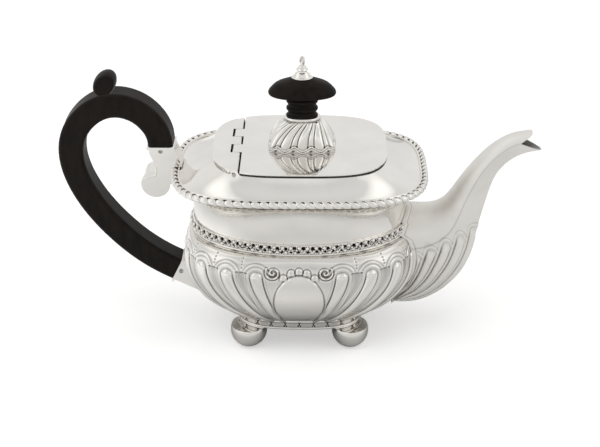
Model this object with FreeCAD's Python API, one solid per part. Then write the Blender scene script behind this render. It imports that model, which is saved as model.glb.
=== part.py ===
import FreeCAD, Part
import math
import os

from FreeCAD import Vector

# An oblong silver teapot on ball feet, with an ebony handle and knob and a flush-hinged lid.
# Millimetres. +X runs to the spout, +Z is up, and the origin is on the table under the middle.

# Plan of the pot: half length and half width of each level, and how square its corners are
BASE_A, BASE_B = 32.0, 26.0
BELLY_A, BELLY_B = 56.0, 38.5
SHOULDER_A, SHOULDER_B = 53.4, 34.7
COLLAR_A, COLLAR_B = 51.6, 33.0
RIM_A, RIM_B = 61.0, 44.0
LID_A, LID_B = 41.3, 34.5
BASE_POWER = 3.1
BODY_POWER = 2.7
NECK_POWER = 2.05
RIM_POWER = 3.4
LID_POWER = 3.4

# Heights, from the table up
BASE_CLEAR = 11.5
BASE_RIM_H = 4.5
BOWL_H = 41.0
BELLY_RISE = 28.0
BAND_H = 5.5
COLLAR_H = 29.5
COLLAR_PLAIN = 7.0
RIM_H = 3.2
DECK_STEP = 2.4
DECK_H = 8.8
LID_GAP = 0.3
LID_T = 1.6

# Walls and edges
WALL = 0.9
BASE_RIM_T = 1.6
BASE_PLATE_T = 1.2
LIP_W = 4.6
RIM_W = 3.8
LID_OVERHANG = 0.5
BOWL_TURN = 60.0
DECK_START = 0.5
FLARE_TURN = 80.0
BAND_PROFILE = [(0.0, 0.8), (0.3, 1.0), (0.7, 1.0), (1.0, 0.6)]

# Feet
FOOT_R = 9.0
FOOT_FLAT = 0.4
FOOT_X, FOOT_Y = 25.0, 20.5

# Chased lobes of the bowl, a blank oval left between them at front and back
LOBE_H = 1.3
LOBE_RISE = 33.0
LOBE_FOOT = 0.3
LOBE_FADE = 6
LOBES_TO_OVAL = 4.5
OVAL_HALF_W = 13.1

# Straining holes through the bowl behind the spout
STRAIN_R = 1.5
STRAIN_PITCH = 5.0
STRAIN_FIELD_R = 10.5
STRAIN_RISE = 25.0

# Flush hinge
HINGE_X = 29.9
HINGE_R = 2.4
HINGE_FLAT = 0.35
HINGE_GAP = 0.3
KNUCKLE_L = 9.0
KNUCKLE_SHIFT = 3.5
KNUCKLE_GAP = 0.2
PIN_R = 1.0
PIN_FIXED_CLEAR = 0.02
PIN_TURN_CLEAR = 0.06

# Locating ring under the lid
FLANGE_CLEAR = 0.5
FLANGE_T = 1.0
FLANGE_DEPTH = 4.0

# Knob stack on the lid
FINIAL_X = 1.0
DOME_A, DOME_B = 16.2, 11.4
DOME_TOP_A, DOME_TOP_B = 8.0, 5.6
DOME_H = 13.4
DOME_WALL = 0.8
DOME_POWER = 2.6
FLUTES = 12
FLUTE_H = 0.8
FLUTE_SWIRL = 0.7
RING_H = 1.5
RING_SPREAD = 0.5
RING_PROFILE = [(0.0, 0.0), (0.35, 1.0), (0.65, 1.0), (1.0, 0.2)]
NECK_A, NECK_B = 7.5, 5.2
NECK_GROOVE = 0.9
NECK_WAVES = 2.5
NECK_H = 9.3
DISC_A, DISC_B = 15.9, 8.2
DISC_H = 9.2
DISC_TOP_A, DISC_TOP_B = 5.6, 4.0
DISC_PROFILE = [
    (0.04, 0.45),
    (0.09, 0.82),
    (0.16, 0.97),
    (0.24, 1.0),
    (0.42, 0.94),
    (0.64, 0.76),
    (0.85, 0.42),
    (1.0, 0.0),
]
KNOB_POWER = 2.2
CAP_A, CAP_B = 4.8, 3.6
CAP_H = 4.4
CAP_POWER = 2.0
CAP_PROFILE = [(0.0, 1.0), (0.18, 1.0), (0.32, 0.8), (0.46, 0.76), (0.62, 0.62), (1.0, 0.56)]
BUD_R = 1.6
BUD_H = 6.4
BUD_PROFILE = [(0.0, 1.0), (0.2, 0.58), (0.4, 0.45), (0.7, 0.74), (0.9, 0.64), (1.0, 0.0)]
BOLT_R = 1.4
BOLT_CLEAR = 0.1
WASHER_R, WASHER_T = 5.0, 1.0
NUT_FLATS, NUT_H = 6.0, 3.0
BOLT_END = 1.0

# Spout: reach beyond the belly and rise above the bowl's foot of the upper and lower outlines,
# with the half width there
SPOUT_STATIONS = [
    (-14.0, 50.6, -22.0, 1.5, 15.0),
    (-1.0, 51.2, 1.5, -0.8, 15.5),
    (7.0, 51.4, 18.5, 9.3, 14.3),
    (12.6, 53.6, 27.3, 22.6, 12.4),
    (17.0, 58.9, 31.0, 39.0, 10.2),
    (22.4, 67.7, 34.3, 55.0, 8.3),
    (33.2, 81.4, 39.5, 70.5, 6.5),
    (45.0, 89.3, 49.5, 79.0, 5.6),
    (55.0, 91.2, 59.0, 81.3, 4.8),
]
SPOUT_WALL = 1.0
ARRIS_SHARE = 0.31
MOUTH_CORNER = (49.3, 85.6)
MOUTH_HOOD = [(52.6, 87.2), (54.3, 89.4), (53.4, 91.4)]
MOUTH_LIP = (59.2, 81.4)

# Handle centre line, pulled through these points: reach beyond the rim's end, rise above the collar's top
HANDLE_LINE = [
    (5.0, 13.5),
    (5.0, 19.5),
    (9.5, 27.5),
    (18.0, 33.5),
    (28.5, 35.0),
    (38.8, 30.2),
    (47.5, 19.0),
    (48.5, 3.5),
    (41.5, -14.5),
    (28.0, -33.0),
    (12.0, -47.3),
    (0.0, -53.2),
]
HANDLE_DEPTH = 11.9
HANDLE_W = 13.0
HANDLE_ROUND = 1.8
THUMB_AT = (30.0, 43.6)
THUMB_LONG, THUMB_SHORT = 6.2, 4.7
THUMB_LEAN = 52.0
THUMB_W = 10.0
THUMB_PROFILE = [(-1.0, 0.72), (-0.9, 0.9), (-0.55, 1.0), (0.55, 1.0), (0.9, 0.9), (1.0, 0.72)]

# Handle sockets and the pins through them
TENON = 6.4
TENON_L = 4.0
TENON_CLEAR = 0.1
SOCKET_W = 11.4
SOCKET_LIP_T = 1.0
SOCKET_LIP_PROUD = 0.6
SOCKET_WAIST = 2.4
SOCKET_WAIST_DROP = 8.0
SOCKET_ROOT = 1.0
STUB_L = 14.0
VOLUTE_R = 7.0
VOLUTE_AT = (8.2, -6.0)
PEG_R = 1.1
PEG_CLEAR = 0.03
PEG_PROUD = 0.3
PEG_DEPTH = 2.2

# Levels that follow from the heights
BASE_TOP = BASE_CLEAR + BASE_RIM_H
BELLY_Z = BASE_TOP + BELLY_RISE
BOWL_TOP = BASE_TOP + BOWL_H
COLLAR_TOP = BOWL_TOP + COLLAR_H
RIM_TOP = COLLAR_TOP + RIM_H
DECK_FOOT = COLLAR_TOP + DECK_STEP
DECK_TOP = DECK_FOOT + DECK_H
LID_BOTTOM = DECK_TOP + LID_GAP
LID_TOP = LID_BOTTOM + LID_T
HINGE_Z = LID_TOP - HINGE_R + HINGE_FLAT
DECK_A, DECK_B = RIM_A - RIM_W, RIM_B - RIM_W
LIP_A, LIP_B = RIM_A - RIM_H / 2, RIM_B - RIM_H / 2
EDGE_A, EDGE_B = LID_A - LID_OVERHANG, LID_B - LID_OVERHANG
RING_BOTTOM = LID_TOP + DOME_H
KNOB_BOTTOM = RING_BOTTOM + RING_H
DISC_BOTTOM = KNOB_BOTTOM + NECK_H
CAP_BOTTOM = DISC_BOTTOM + DISC_H
CAP_TOP = CAP_BOTTOM + CAP_H

# How closely the curves are set out: points round an outline, and the angles of the levels up a curve
POINTS = 64
LOBED_POINTS = 168
FLUTE_POINTS = 10
THUMB_POINTS = 24
ARCH_POINTS = 7
KEEL_POINTS = 9
NECK_STEPS = 12
BOWL_SHARES = (0.0, 0.15, 0.32, 0.5, 0.68, 0.85, 1.0)
SHOULDER_ANGLES = (28, 55, 76, 90)
RIM_ANGLES = (-90, -55, -20, 20, 55, 90)
HOLLOW_ANGLES = (0, 18, 36, 54, 72, 90)
FLARE_SHARES = (0.0, 0.3, 0.55, 0.75, 0.9, 1.0)
DECK_SHARES = (0.0, 0.25, 0.5, 0.75, 1.0)


def spread(start, end, share):
    return start + (end - start) * share


def closed_curve(points):
    curve = Part.BSplineCurve()
    steps = [float(i) for i in range(len(points) + 1)]
    curve.interpolate(Points=points, PeriodicFlag=True, Parameters=steps)
    return Part.Wire(curve.toShape())


def open_curve(points):
    curve = Part.BSplineCurve()
    curve.interpolate(Points=points, Parameters=[float(i) for i in range(len(points))])
    return curve.toShape()


def cushion(a, b, power, z, count=POINTS, x=0.0, wave=None):
    """Outline of an oblong with swelling sides; wave(turn) adds to its reach."""
    points = []
    for i in range(count):
        turn = 2 * math.pi * i / count
        c, s = math.cos(turn), math.sin(turn)
        reach = (abs(c) ** power + abs(s) ** power) ** (-1 / power)
        grow = wave(turn) if wave else 0.0
        points.append(Vector(x + (a + grow) * c * reach, (b + grow) * s * reach, z))
    return closed_curve(points)


def stack(levels, **options):
    """Solid through cushion outlines, each given as (height, half length, half width, power)."""
    wires = [cushion(a, b, power, z, **options) for z, a, b, power in levels]
    return Part.makeLoft(wires, True, False, False, 3)


def slab(a, b, power, low, high, x=0.0):
    return Part.Face(cushion(a, b, power, low, x=x)).extrude(Vector(0, 0, high - low))


def box(x0, x1, y0, y1, z0, z1):
    return Part.makeBox(x1 - x0, y1 - y0, z1 - z0, Vector(x0, y0, z0))


def across(radius, x, z, y0, y1):
    """Round bar along Y."""
    return Part.makeCylinder(radius, y1 - y0, Vector(x, y0, z), Vector(0, 1, 0))


def upright(radius, low, high, x=FINIAL_X):
    return Part.makeCylinder(radius, high - low, Vector(x, 0, low))


def bowl_levels(foot, base, belly, top):
    """Levels of the bowl: an arc up from the foot to the belly, then the shoulder in to the neck."""
    levels = []
    last = math.radians(BOWL_TURN)
    for share in BOWL_SHARES:
        turn = last * (1 - share)
        out = (math.cos(turn) - math.cos(last)) / (1 - math.cos(last))
        z = spread(BELLY_Z, foot, math.sin(turn) / math.sin(last))
        power = spread(BASE_POWER, BODY_POWER, out)
        levels.append((z, spread(base[0], belly[0], out), spread(base[1], belly[1], out), power))
    for degrees in SHOULDER_ANGLES:
        turn = math.radians(degrees)
        out = math.cos(turn)
        z = spread(BELLY_Z, BOWL_TOP, math.sin(turn))
        power = spread(NECK_POWER, BODY_POWER, out)
        levels.append((z, spread(top[0], belly[0], out), spread(top[1], belly[1], out), power))
    return levels


def lobe_wave():
    """Lobe height round the belly, counted from the middle of each end; none over the oval."""
    turns = [2 * math.pi * i / LOBED_POINTS for i in range(LOBED_POINTS // 4 + 1)]
    spots = []
    for turn in turns:
        c, s = abs(math.cos(turn)), abs(math.sin(turn))
        reach = (c ** BODY_POWER + s ** BODY_POWER) ** (-1 / BODY_POWER)
        spots.append((BELLY_A * c * reach, BELLY_B * s * reach))
    run = [0.0]
    for before, after in zip(spots, spots[1:]):
        run.append(run[-1] + math.dist(before, after))
    pitch = (run[-1] - OVAL_HALF_W) / LOBES_TO_OVAL

    def height(turn):
        quarter = turn % math.pi
        if quarter > math.pi / 2:
            quarter = math.pi - quarter
        along = run[round(quarter / (2 * math.pi) * LOBED_POINTS)]
        if along > LOBES_TO_OVAL * pitch:
            return 0.0
        return 0.5 + 0.5 * math.cos(2 * math.pi * along / pitch)

    return height


def bowl_outer():
    """The bowl as a filled solid, lobes included."""
    height = lobe_wave()
    wires = []
    levels = bowl_levels(BASE_TOP, (BASE_A, BASE_B), (BELLY_A, BELLY_B), (SHOULDER_A, SHOULDER_B))
    for z, a, b, power in levels:
        share = (z - BASE_TOP) / LOBE_RISE
        fade = max(0.0, 1 - share ** LOBE_FADE) * min(1.0, LOBE_FOOT + share * (1 - LOBE_FOOT) / LOBE_FOOT)
        wires.append(cushion(a, b, power, z, LOBED_POINTS, 0.0, lambda turn: LOBE_H * fade * height(turn)))
    return Part.makeLoft(wires, True, False, False, 3)


def body_shell(outer):
    inner_foot = BASE_TOP + WALL
    base = (BASE_A - BASE_RIM_T, BASE_B - BASE_RIM_T)
    belly = (BELLY_A - WALL, BELLY_B - WALL)
    top = (COLLAR_A - WALL, COLLAR_B - WALL)
    shell = outer.cut(stack(bowl_levels(inner_foot, base, belly, top)))
    shell = shell.cut(slab(base[0], base[1], BASE_POWER, BASE_TOP, inner_foot))
    return shell.cut(straining_holes())


def straining_holes():
    rows = int(STRAIN_FIELD_R / STRAIN_PITCH) + 1
    holes = []
    for row in range(-rows, rows + 1):
        for column in range(-rows, rows + 1):
            y = STRAIN_PITCH * (column + 0.5 * (row % 2))
            z = STRAIN_PITCH * math.sqrt(3) / 2 * row
            if math.hypot(y, z) <= STRAIN_FIELD_R:
                start = Vector(BELLY_A - 4 * WALL - LOBE_H, y, BASE_TOP + STRAIN_RISE + z)
                holes.append(Part.makeCylinder(STRAIN_R, 8 * WALL + LOBE_H, start, Vector(1, 0, 0)))
    return holes


def base_rim():
    ring = slab(BASE_A, BASE_B, BASE_POWER, BASE_CLEAR, BASE_TOP)
    return ring.cut(slab(BASE_A - BASE_RIM_T, BASE_B - BASE_RIM_T, BASE_POWER, BASE_CLEAR, BASE_TOP))


def base_plate():
    return slab(BASE_A - BASE_RIM_T, BASE_B - BASE_RIM_T, BASE_POWER, BASE_CLEAR, BASE_CLEAR + BASE_PLATE_T)


def foot(x, y):
    """Ball foot, filed flat below and seated flat against the base."""
    ball = Part.makeSphere(FOOT_R, Vector(x, y, FOOT_R - FOOT_FLAT))
    return ball.common(box(x - FOOT_R, x + FOOT_R, y - FOOT_R, y + FOOT_R, 0.0, BASE_CLEAR))


def band_outer():
    levels = []
    for rise, share in BAND_PROFILE:
        a = spread(COLLAR_A, SHOULDER_A, share)
        b = spread(COLLAR_B, SHOULDER_B, share)
        levels.append((BOWL_TOP + BAND_H * rise, a, b, NECK_POWER))
    return stack(levels)


def collar_foot(inset):
    """Upright foot of the collar, behind the leaf strip."""
    return slab(COLLAR_A - inset, COLLAR_B - inset, NECK_POWER, BOWL_TOP, BOWL_TOP + COLLAR_PLAIN)


def foliate_band(outer):
    return outer.cut(collar_foot(0.0))


def collar_form(inset, lip_inset):
    """Upright foot, then a hollow flare out to the rim."""
    plain_top = BOWL_TOP + COLLAR_PLAIN
    last = math.radians(FLARE_TURN)
    levels = []
    for share in FLARE_SHARES:
        turn = last * share
        out = (1 - math.cos(turn)) / (1 - math.cos(last))
        z = spread(plain_top, COLLAR_TOP, math.sin(turn) / math.sin(last))
        a = spread(COLLAR_A - inset, LIP_A - lip_inset, out)
        b = spread(COLLAR_B - inset, LIP_B - lip_inset, out)
        levels.append((z, a, b, spread(NECK_POWER, RIM_POWER, out)))
    return collar_foot(inset).fuse(stack(levels))


def collar(outer):
    return outer.cut(collar_form(WALL, LIP_W))


def rim_outer():
    """Half-round edge as a filled solid."""
    half = RIM_H / 2
    levels = []
    for degrees in RIM_ANGLES:
        turn = math.radians(degrees)
        out = half * (math.cos(turn) - 1)
        levels.append((COLLAR_TOP + half + half * math.sin(turn), RIM_A + out, RIM_B + out, RIM_POWER))
    return stack(levels)


def gadroon_rim(outer):
    return outer.cut(slab(DECK_A, DECK_B, RIM_POWER, COLLAR_TOP, RIM_TOP))


def deck_levels(inset, drop):
    """Hollow slope from the rim up to the lid's edge."""
    levels = []
    for share in DECK_SHARES:
        z = spread(DECK_FOOT - drop, DECK_TOP, DECK_START * share + (1 - DECK_START) * share ** 2)
        a = spread(DECK_A, EDGE_A, share) - inset
        b = spread(DECK_B, EDGE_B, share) - inset
        levels.append((z, a, b, spread(RIM_POWER, LID_POWER, share)))
    return levels


def deck_outer():
    return slab(DECK_A, DECK_B, RIM_POWER, COLLAR_TOP, DECK_FOOT).fuse(stack(deck_levels(0.0, 0.0)))


def top_deck(outer):
    inner = stack(deck_levels(WALL, WALL))
    skirt = slab(DECK_A - WALL, DECK_B - WALL, RIM_POWER, COLLAR_TOP, DECK_FOOT - WALL)
    return outer.cut(inner).cut(skirt).cut(hinge_bar(HINGE_R)).removeSplitter()


def hinge_bar(radius):
    return across(radius, -HINGE_X, HINGE_Z, -LID_B, LID_B)


def knuckle_ends():
    """Ends of the five knuckles along Y, from front to back."""
    inner = [KNUCKLE_SHIFT + KNUCKLE_L * step for step in (-1.5, -0.5, 0.5, 1.5)]
    return [-LID_B] + inner + [LID_B]


def hinge_spans(first):
    ends = knuckle_ends()
    return [(ends[i] + KNUCKLE_GAP / 2, ends[i + 1] - KNUCKLE_GAP / 2) for i in range(first, 5, 2)]


def hinge_trim(deck):
    """Space the hinge may fill: under the deck's slope, and filed flush with the lid's top."""
    return deck.fuse(slab(EDGE_A, EDGE_B, LID_POWER, DECK_TOP, LID_TOP))


def knuckles(first, clear, trim):
    tubes = [across(HINGE_R, -HINGE_X, HINGE_Z, low, high) for low, high in hinge_spans(first)]
    bore = hinge_bar(PIN_R + clear)
    return Part.makeCompound([tube.common(trim).cut(bore) for tube in tubes])


def hinge_pin(trim):
    return hinge_bar(PIN_R).common(trim)


def lid_half(side, low):
    """Lid outline on one side of the hinge, with a tab to each of that side's knuckles."""
    plate = slab(LID_A, LID_B, LID_POWER, low, LID_TOP)
    edge = HINGE_R + HINGE_GAP
    keep = [box(-HINGE_X + edge, LID_A, -LID_B, LID_B, low, LID_TOP)]
    if side < 0:
        keep = [box(-LID_A, -HINGE_X - edge, -LID_B, LID_B, low, LID_TOP)]
    for span_low, span_high in hinge_spans(0 if side < 0 else 1):
        x0, x1 = sorted((-HINGE_X, -HINGE_X + side * edge))
        keep.append(box(x0, x1, span_low, span_high, low, LID_TOP))
    half = keep[0].fuse(keep[1:])
    return plate.common(half).cut(hinge_bar(HINGE_R)).removeSplitter()


def hinge_plate():
    return lid_half(-1, DECK_TOP)


def lid_plate():
    return lid_half(1, LID_BOTTOM).cut(upright(BOLT_R + BOLT_CLEAR, LID_BOTTOM, LID_TOP))


def lid_flange():
    low = LID_BOTTOM - FLANGE_DEPTH
    inset = WALL + FLANGE_CLEAR
    start = -HINGE_X + HINGE_R + HINGE_GAP + FLANGE_T

    def panel(inset, start):
        plate = slab(EDGE_A - inset, EDGE_B - inset, LID_POWER, low, LID_BOTTOM)
        return plate.common(box(start, LID_A, -LID_B, LID_B, low, LID_BOTTOM))

    return panel(inset, start).cut(panel(inset + FLANGE_T, start + FLANGE_T))


def dome_levels(inset):
    levels = []
    for degrees in HOLLOW_ANGLES:
        turn = math.radians(degrees)
        a = spread(DOME_TOP_A, DOME_A, math.cos(turn)) - inset
        b = spread(DOME_TOP_B, DOME_B, math.cos(turn)) - inset
        levels.append((LID_TOP + DOME_H * math.sin(turn), a, b, DOME_POWER))
    return levels


def finial_dome():
    """Hollow dome with flutes that lean round it as they rise."""
    wires = []
    for z, a, b, power in dome_levels(0.0):
        lean = 2 * math.pi * FLUTE_SWIRL * (z - LID_TOP) / DOME_H
        wires.append(cushion(a, b, power, z, FLUTES * FLUTE_POINTS, FINIAL_X,
                             lambda turn: FLUTE_H * (math.cos(FLUTES * turn - lean) - 1)))
    dome = Part.makeLoft(wires, True, False, False, 3)
    inner = stack(dome_levels(DOME_WALL + 2 * FLUTE_H), x=FINIAL_X)
    inner.translate(Vector(0, 0, -DOME_WALL))
    return dome.cut(inner).cut(upright(BOLT_R + BOLT_CLEAR, LID_TOP, RING_BOTTOM))


def finial_collar():
    levels = []
    for rise, out in RING_PROFILE:
        grow = RING_SPREAD * out
        levels.append((RING_BOTTOM + RING_H * rise, DOME_TOP_A + grow, DOME_TOP_B + grow, KNOB_POWER))
    ring = stack(levels, x=FINIAL_X)
    return ring.cut(upright(BOLT_R + BOLT_CLEAR, RING_BOTTOM, KNOB_BOTTOM))


def knob():
    """Turned ebony: a neck with two rings under a mushroom disc."""
    neck = []
    for step in range(NECK_STEPS + 1):
        share = step / NECK_STEPS
        groove = NECK_GROOVE * (0.5 - 0.5 * math.cos(2 * math.pi * NECK_WAVES * share))
        neck.append((spread(KNOB_BOTTOM, DISC_BOTTOM, share), NECK_A - groove, NECK_B - groove, KNOB_POWER))
    disc = [(DISC_BOTTOM, NECK_A - NECK_GROOVE, NECK_B - NECK_GROOVE, KNOB_POWER)]
    for rise, out in DISC_PROFILE:
        a = spread(DISC_TOP_A, DISC_A, out)
        b = spread(DISC_TOP_B, DISC_B, out)
        disc.append((DISC_BOTTOM + DISC_H * rise, a, b, KNOB_POWER))
    solid = stack(neck, x=FINIAL_X).fuse(stack(disc, x=FINIAL_X))
    return solid.cut(upright(BOLT_R + BOLT_CLEAR, KNOB_BOTTOM, CAP_BOTTOM)).removeSplitter()


def finial_cap():
    levels = []
    for rise, out in CAP_PROFILE:
        levels.append((CAP_BOTTOM + CAP_H * rise, CAP_A * out, CAP_B * out, CAP_POWER))
    cap = stack(levels, x=FINIAL_X)
    return cap.cut(upright(BOLT_R + BOLT_CLEAR, CAP_BOTTOM, CAP_TOP))


def finial_bolt():
    """Bud and through bolt in one piece."""
    low = LID_BOTTOM - WASHER_T - NUT_H - BOLT_END
    points = [Vector(FINIAL_X + BUD_R * out, 0, CAP_TOP + BUD_H * rise) for rise, out in BUD_PROFILE]
    side = open_curve(points)
    axis = Part.makeLine(Vector(FINIAL_X, 0, CAP_TOP + BUD_H), Vector(FINIAL_X, 0, CAP_TOP))
    base = Part.makeLine(Vector(FINIAL_X, 0, CAP_TOP), Vector(FINIAL_X + BUD_R, 0, CAP_TOP))
    face = Part.Face(Part.Wire([base, side, axis]))
    bud = face.revolve(Vector(FINIAL_X, 0, 0), Vector(0, 0, 1), 360)
    return bud.fuse(upright(BOLT_R, low, CAP_TOP)).removeSplitter()


def finial_washer():
    top = LID_BOTTOM
    washer = upright(WASHER_R, top - WASHER_T, top)
    return washer.cut(upright(BOLT_R + BOLT_CLEAR, top - WASHER_T, top))


def finial_nut():
    top = LID_BOTTOM - WASHER_T
    corner = NUT_FLATS / math.sqrt(3)
    turns = [math.pi / 3 * i for i in range(7)]
    points = [Vector(FINIAL_X + corner * math.cos(t), corner * math.sin(t), top - NUT_H) for t in turns]
    nut = Part.Face(Part.makePolygon(points)).extrude(Vector(0, 0, NUT_H))
    return nut.cut(upright(BOLT_R + BOLT_CLEAR, top - NUT_H, top))


def spout_section(station, inset):
    """Section square to the centre plane: a flat arch over a deep bowl, meeting at the arrises."""
    top_x, top_z, low_x, low_z, half = station
    top = Vector(BELLY_A + top_x, 0, BASE_TOP + top_z)
    low = Vector(BELLY_A + low_x, 0, BASE_TOP + low_z)
    line = (top - low).normalize()
    top = top - line * inset
    low = low + line * inset
    half = half - inset
    middle = top + (low - top) * ARRIS_SHARE
    arch = (top - middle).Length
    bowl = (low - middle).Length
    radius = (half ** 2 + arch ** 2) / (2 * arch)
    spread_angle = math.asin(min(1.0, half / radius))
    upper = []
    lower = []
    for i in range(ARCH_POINTS):
        turn = spread_angle * (2 * i / (ARCH_POINTS - 1) - 1)
        rise = radius * math.cos(turn) - radius + arch
        upper.append(middle + line * rise + Vector(0, radius * math.sin(turn), 0))
    for i in range(KEEL_POINTS):
        turn = math.pi * i / (KEEL_POINTS - 1)
        lower.append(middle - line * (bowl * math.sin(turn)) + Vector(0, half * math.cos(turn), 0))
    lower[0] = upper[-1]
    lower[-1] = upper[0]
    return Part.Wire([open_curve(upper), open_curve(lower)])


def spout(body):
    outer = Part.makeLoft([spout_section(s, 0.0) for s in SPOUT_STATIONS], True, False, False, 3)
    inner = Part.makeLoft([spout_section(s, SPOUT_WALL) for s in SPOUT_STATIONS], True, False, False, 3)
    beyond = BELLY_A + MOUTH_LIP[0] + SPOUT_WALL
    above = SPOUT_STATIONS[-1][1] + SPOUT_STATIONS[-1][4]
    points = [MOUTH_CORNER] + MOUTH_HOOD + [(MOUTH_HOOD[-1][0], above)]
    wedge = [Vector(BELLY_A + x, 0, BASE_TOP + z) for x, z in points]
    wedge.append(Vector(beyond, 0, wedge[-1].z))
    wedge.append(Vector(beyond, 0, BASE_TOP + MOUTH_LIP[1]))
    wedge.append(Vector(BELLY_A + MOUTH_LIP[0], 0, BASE_TOP + MOUTH_LIP[1]))
    wedge.append(wedge[0])
    half = SPOUT_STATIONS[0][4] + SPOUT_WALL
    mouth = Part.Face(Part.makePolygon(wedge)).extrude(Vector(0, 2 * half, 0))
    mouth.translate(Vector(0, -half, 0))
    return biggest(outer.cut(inner).cut(mouth).cut(body))


def biggest(shape):
    return max(shape.Solids, key=lambda solid: solid.Volume)


def handle_curve():
    curve = Part.BSplineCurve()
    curve.buildFromPoles([Vector(-RIM_A - x, 0, COLLAR_TOP + z) for x, z in HANDLE_LINE])
    return curve


def handle():
    """Bar of rounded square section along the centre line, with a thumb piece and a tenon at each end."""
    sweep = Part.BRepOffsetAPI.MakePipeShell(Part.Wire(handle_curve().toShape()))
    sweep.setBiNormalMode(Vector(0, 1, 0))
    sweep.add(end_outline())
    sweep.build()
    sweep.makeSolid()
    bar = sweep.shape()
    solid = bar.fuse([thumb_piece()] + [tenon(end, 0.0) for end in (0, 1)])
    pegs = [across(PEG_R + PEG_CLEAR, at.x, at.z, -HANDLE_W, HANDLE_W) for at in peg_places()]
    return solid.cut(pegs).removeSplitter()


def end_outline():
    """Section of the handle at its upper end."""
    middle = handle_end(0)[0]
    plate = Part.makePlane(HANDLE_DEPTH, HANDLE_W, middle - Vector(HANDLE_DEPTH / 2, HANDLE_W / 2, 0))
    bar = plate.extrude(Vector(0, 0, HANDLE_DEPTH))
    corners = [edge for edge in bar.Edges if edge.BoundBox.ZLength > HANDLE_DEPTH / 2]
    rounded = bar.makeFillet(HANDLE_ROUND, corners)
    low = min(rounded.Faces, key=lambda face: face.CenterOfMass.z)
    return low.OuterWire


def facing_oval(centre, first, second):
    """Oval about a centre, spanned by two half axes."""
    points = []
    for i in range(THUMB_POINTS):
        turn = 2 * math.pi * i / THUMB_POINTS
        points.append(centre + first * math.cos(turn) + second * math.sin(turn))
    return closed_curve(points)


def thumb_piece():
    """Small pillow that leans back on top of the handle."""
    lean = math.radians(THUMB_LEAN)
    along = Vector(math.cos(lean), 0, math.sin(lean)) * THUMB_LONG
    aside = Vector(-math.sin(lean), 0, math.cos(lean)) * THUMB_SHORT
    wires = []
    for out, size in THUMB_PROFILE:
        centre = Vector(-RIM_A - THUMB_AT[0], out * THUMB_W / 2, COLLAR_TOP + THUMB_AT[1])
        wires.append(facing_oval(centre, along * size, aside * size))
    return Part.makeLoft(wires, True, False, False, 3)


def handle_end(end):
    """Middle of an end face of the handle, and the way out of it."""
    curve = handle_curve()
    at = curve.LastParameter if end else curve.FirstParameter
    way = curve.tangent(at)[0]
    return curve.value(at), way if end else way * -1


def end_frame(end):
    """Placement with Z out of the handle's end and Y across the handle."""
    middle, way = handle_end(end)
    side = Vector(0, 1, 0)
    turn = FreeCAD.Rotation(side.cross(way), side, way, "ZYX")
    return FreeCAD.Placement(middle, turn)


def block(end, depth, width, low, high):
    """Block centred on the handle's end, square to it."""
    solid = Part.makeBox(depth, width, high - low, Vector(-depth / 2, -width / 2, low))
    solid.Placement = end_frame(end)
    return solid


def tenon(end, grow):
    size = TENON + 2 * grow
    return block(end, size, size, -TENON / 2 if not grow else 0.0, TENON_L + grow)


def peg_places():
    places = []
    for end in (0, 1):
        middle, way = handle_end(end)
        places.append(middle + way * PEG_DEPTH)
    return places


def socket_lip(end):
    size = 2 * SOCKET_LIP_PROUD
    return block(end, HANDLE_DEPTH + size, HANDLE_W + size, 0.0, SOCKET_LIP_T)


def upper_socket(rim, flare):
    """Bracket from the rim to the handle, ending below in a plain volute."""
    middle = handle_end(0)[0]
    left, right = middle.x - HANDLE_DEPTH / 2, middle.x + HANDLE_DEPTH / 2
    volute_x, volute_z = -RIM_A - VOLUTE_AT[0], COLLAR_TOP + VOLUTE_AT[1]
    root = -LIP_A + RIM_H
    waist = left + SOCKET_WAIST
    outline = [(left, middle.z), (left + SOCKET_WAIST / 4, middle.z - SOCKET_WAIST_DROP / 2),
               (waist, middle.z - SOCKET_WAIST_DROP), (waist, volute_z), (root, volute_z),
               (root, RIM_TOP + SOCKET_ROOT), (right, middle.z)]
    points = [Vector(x, -SOCKET_W / 2, z) for x, z in outline]
    bracket = Part.Face(Part.makePolygon(points + points[:1])).extrude(Vector(0, SOCKET_W, 0))
    drum = across(VOLUTE_R, volute_x, volute_z, -SOCKET_W / 2, SOCKET_W / 2)
    solid = bracket.fuse([drum, socket_lip(0)])
    solid = solid.cut([rim, flare, slab(DECK_A, DECK_B, RIM_POWER, COLLAR_TOP, RIM_TOP)])
    return finish_socket(solid, 0)


def lower_socket(body):
    """Plain tapered stub from the bowl to the handle's lower end."""
    solid = block(1, HANDLE_DEPTH, SOCKET_W, 0.0, STUB_L).fuse(socket_lip(1))
    return finish_socket(biggest(solid.cut(body)), 1)


def finish_socket(solid, end):
    peg = peg_places()[end]
    hole = across(PEG_R + PEG_CLEAR, peg.x, peg.z, -HANDLE_W, HANDLE_W)
    return biggest(solid.cut([tenon(end, TENON_CLEAR), hole]).removeSplitter())


def peg(end):
    place = peg_places()[end]
    half = SOCKET_W / 2 + PEG_PROUD
    return across(PEG_R, place.x, place.z, -half, half)


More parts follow.
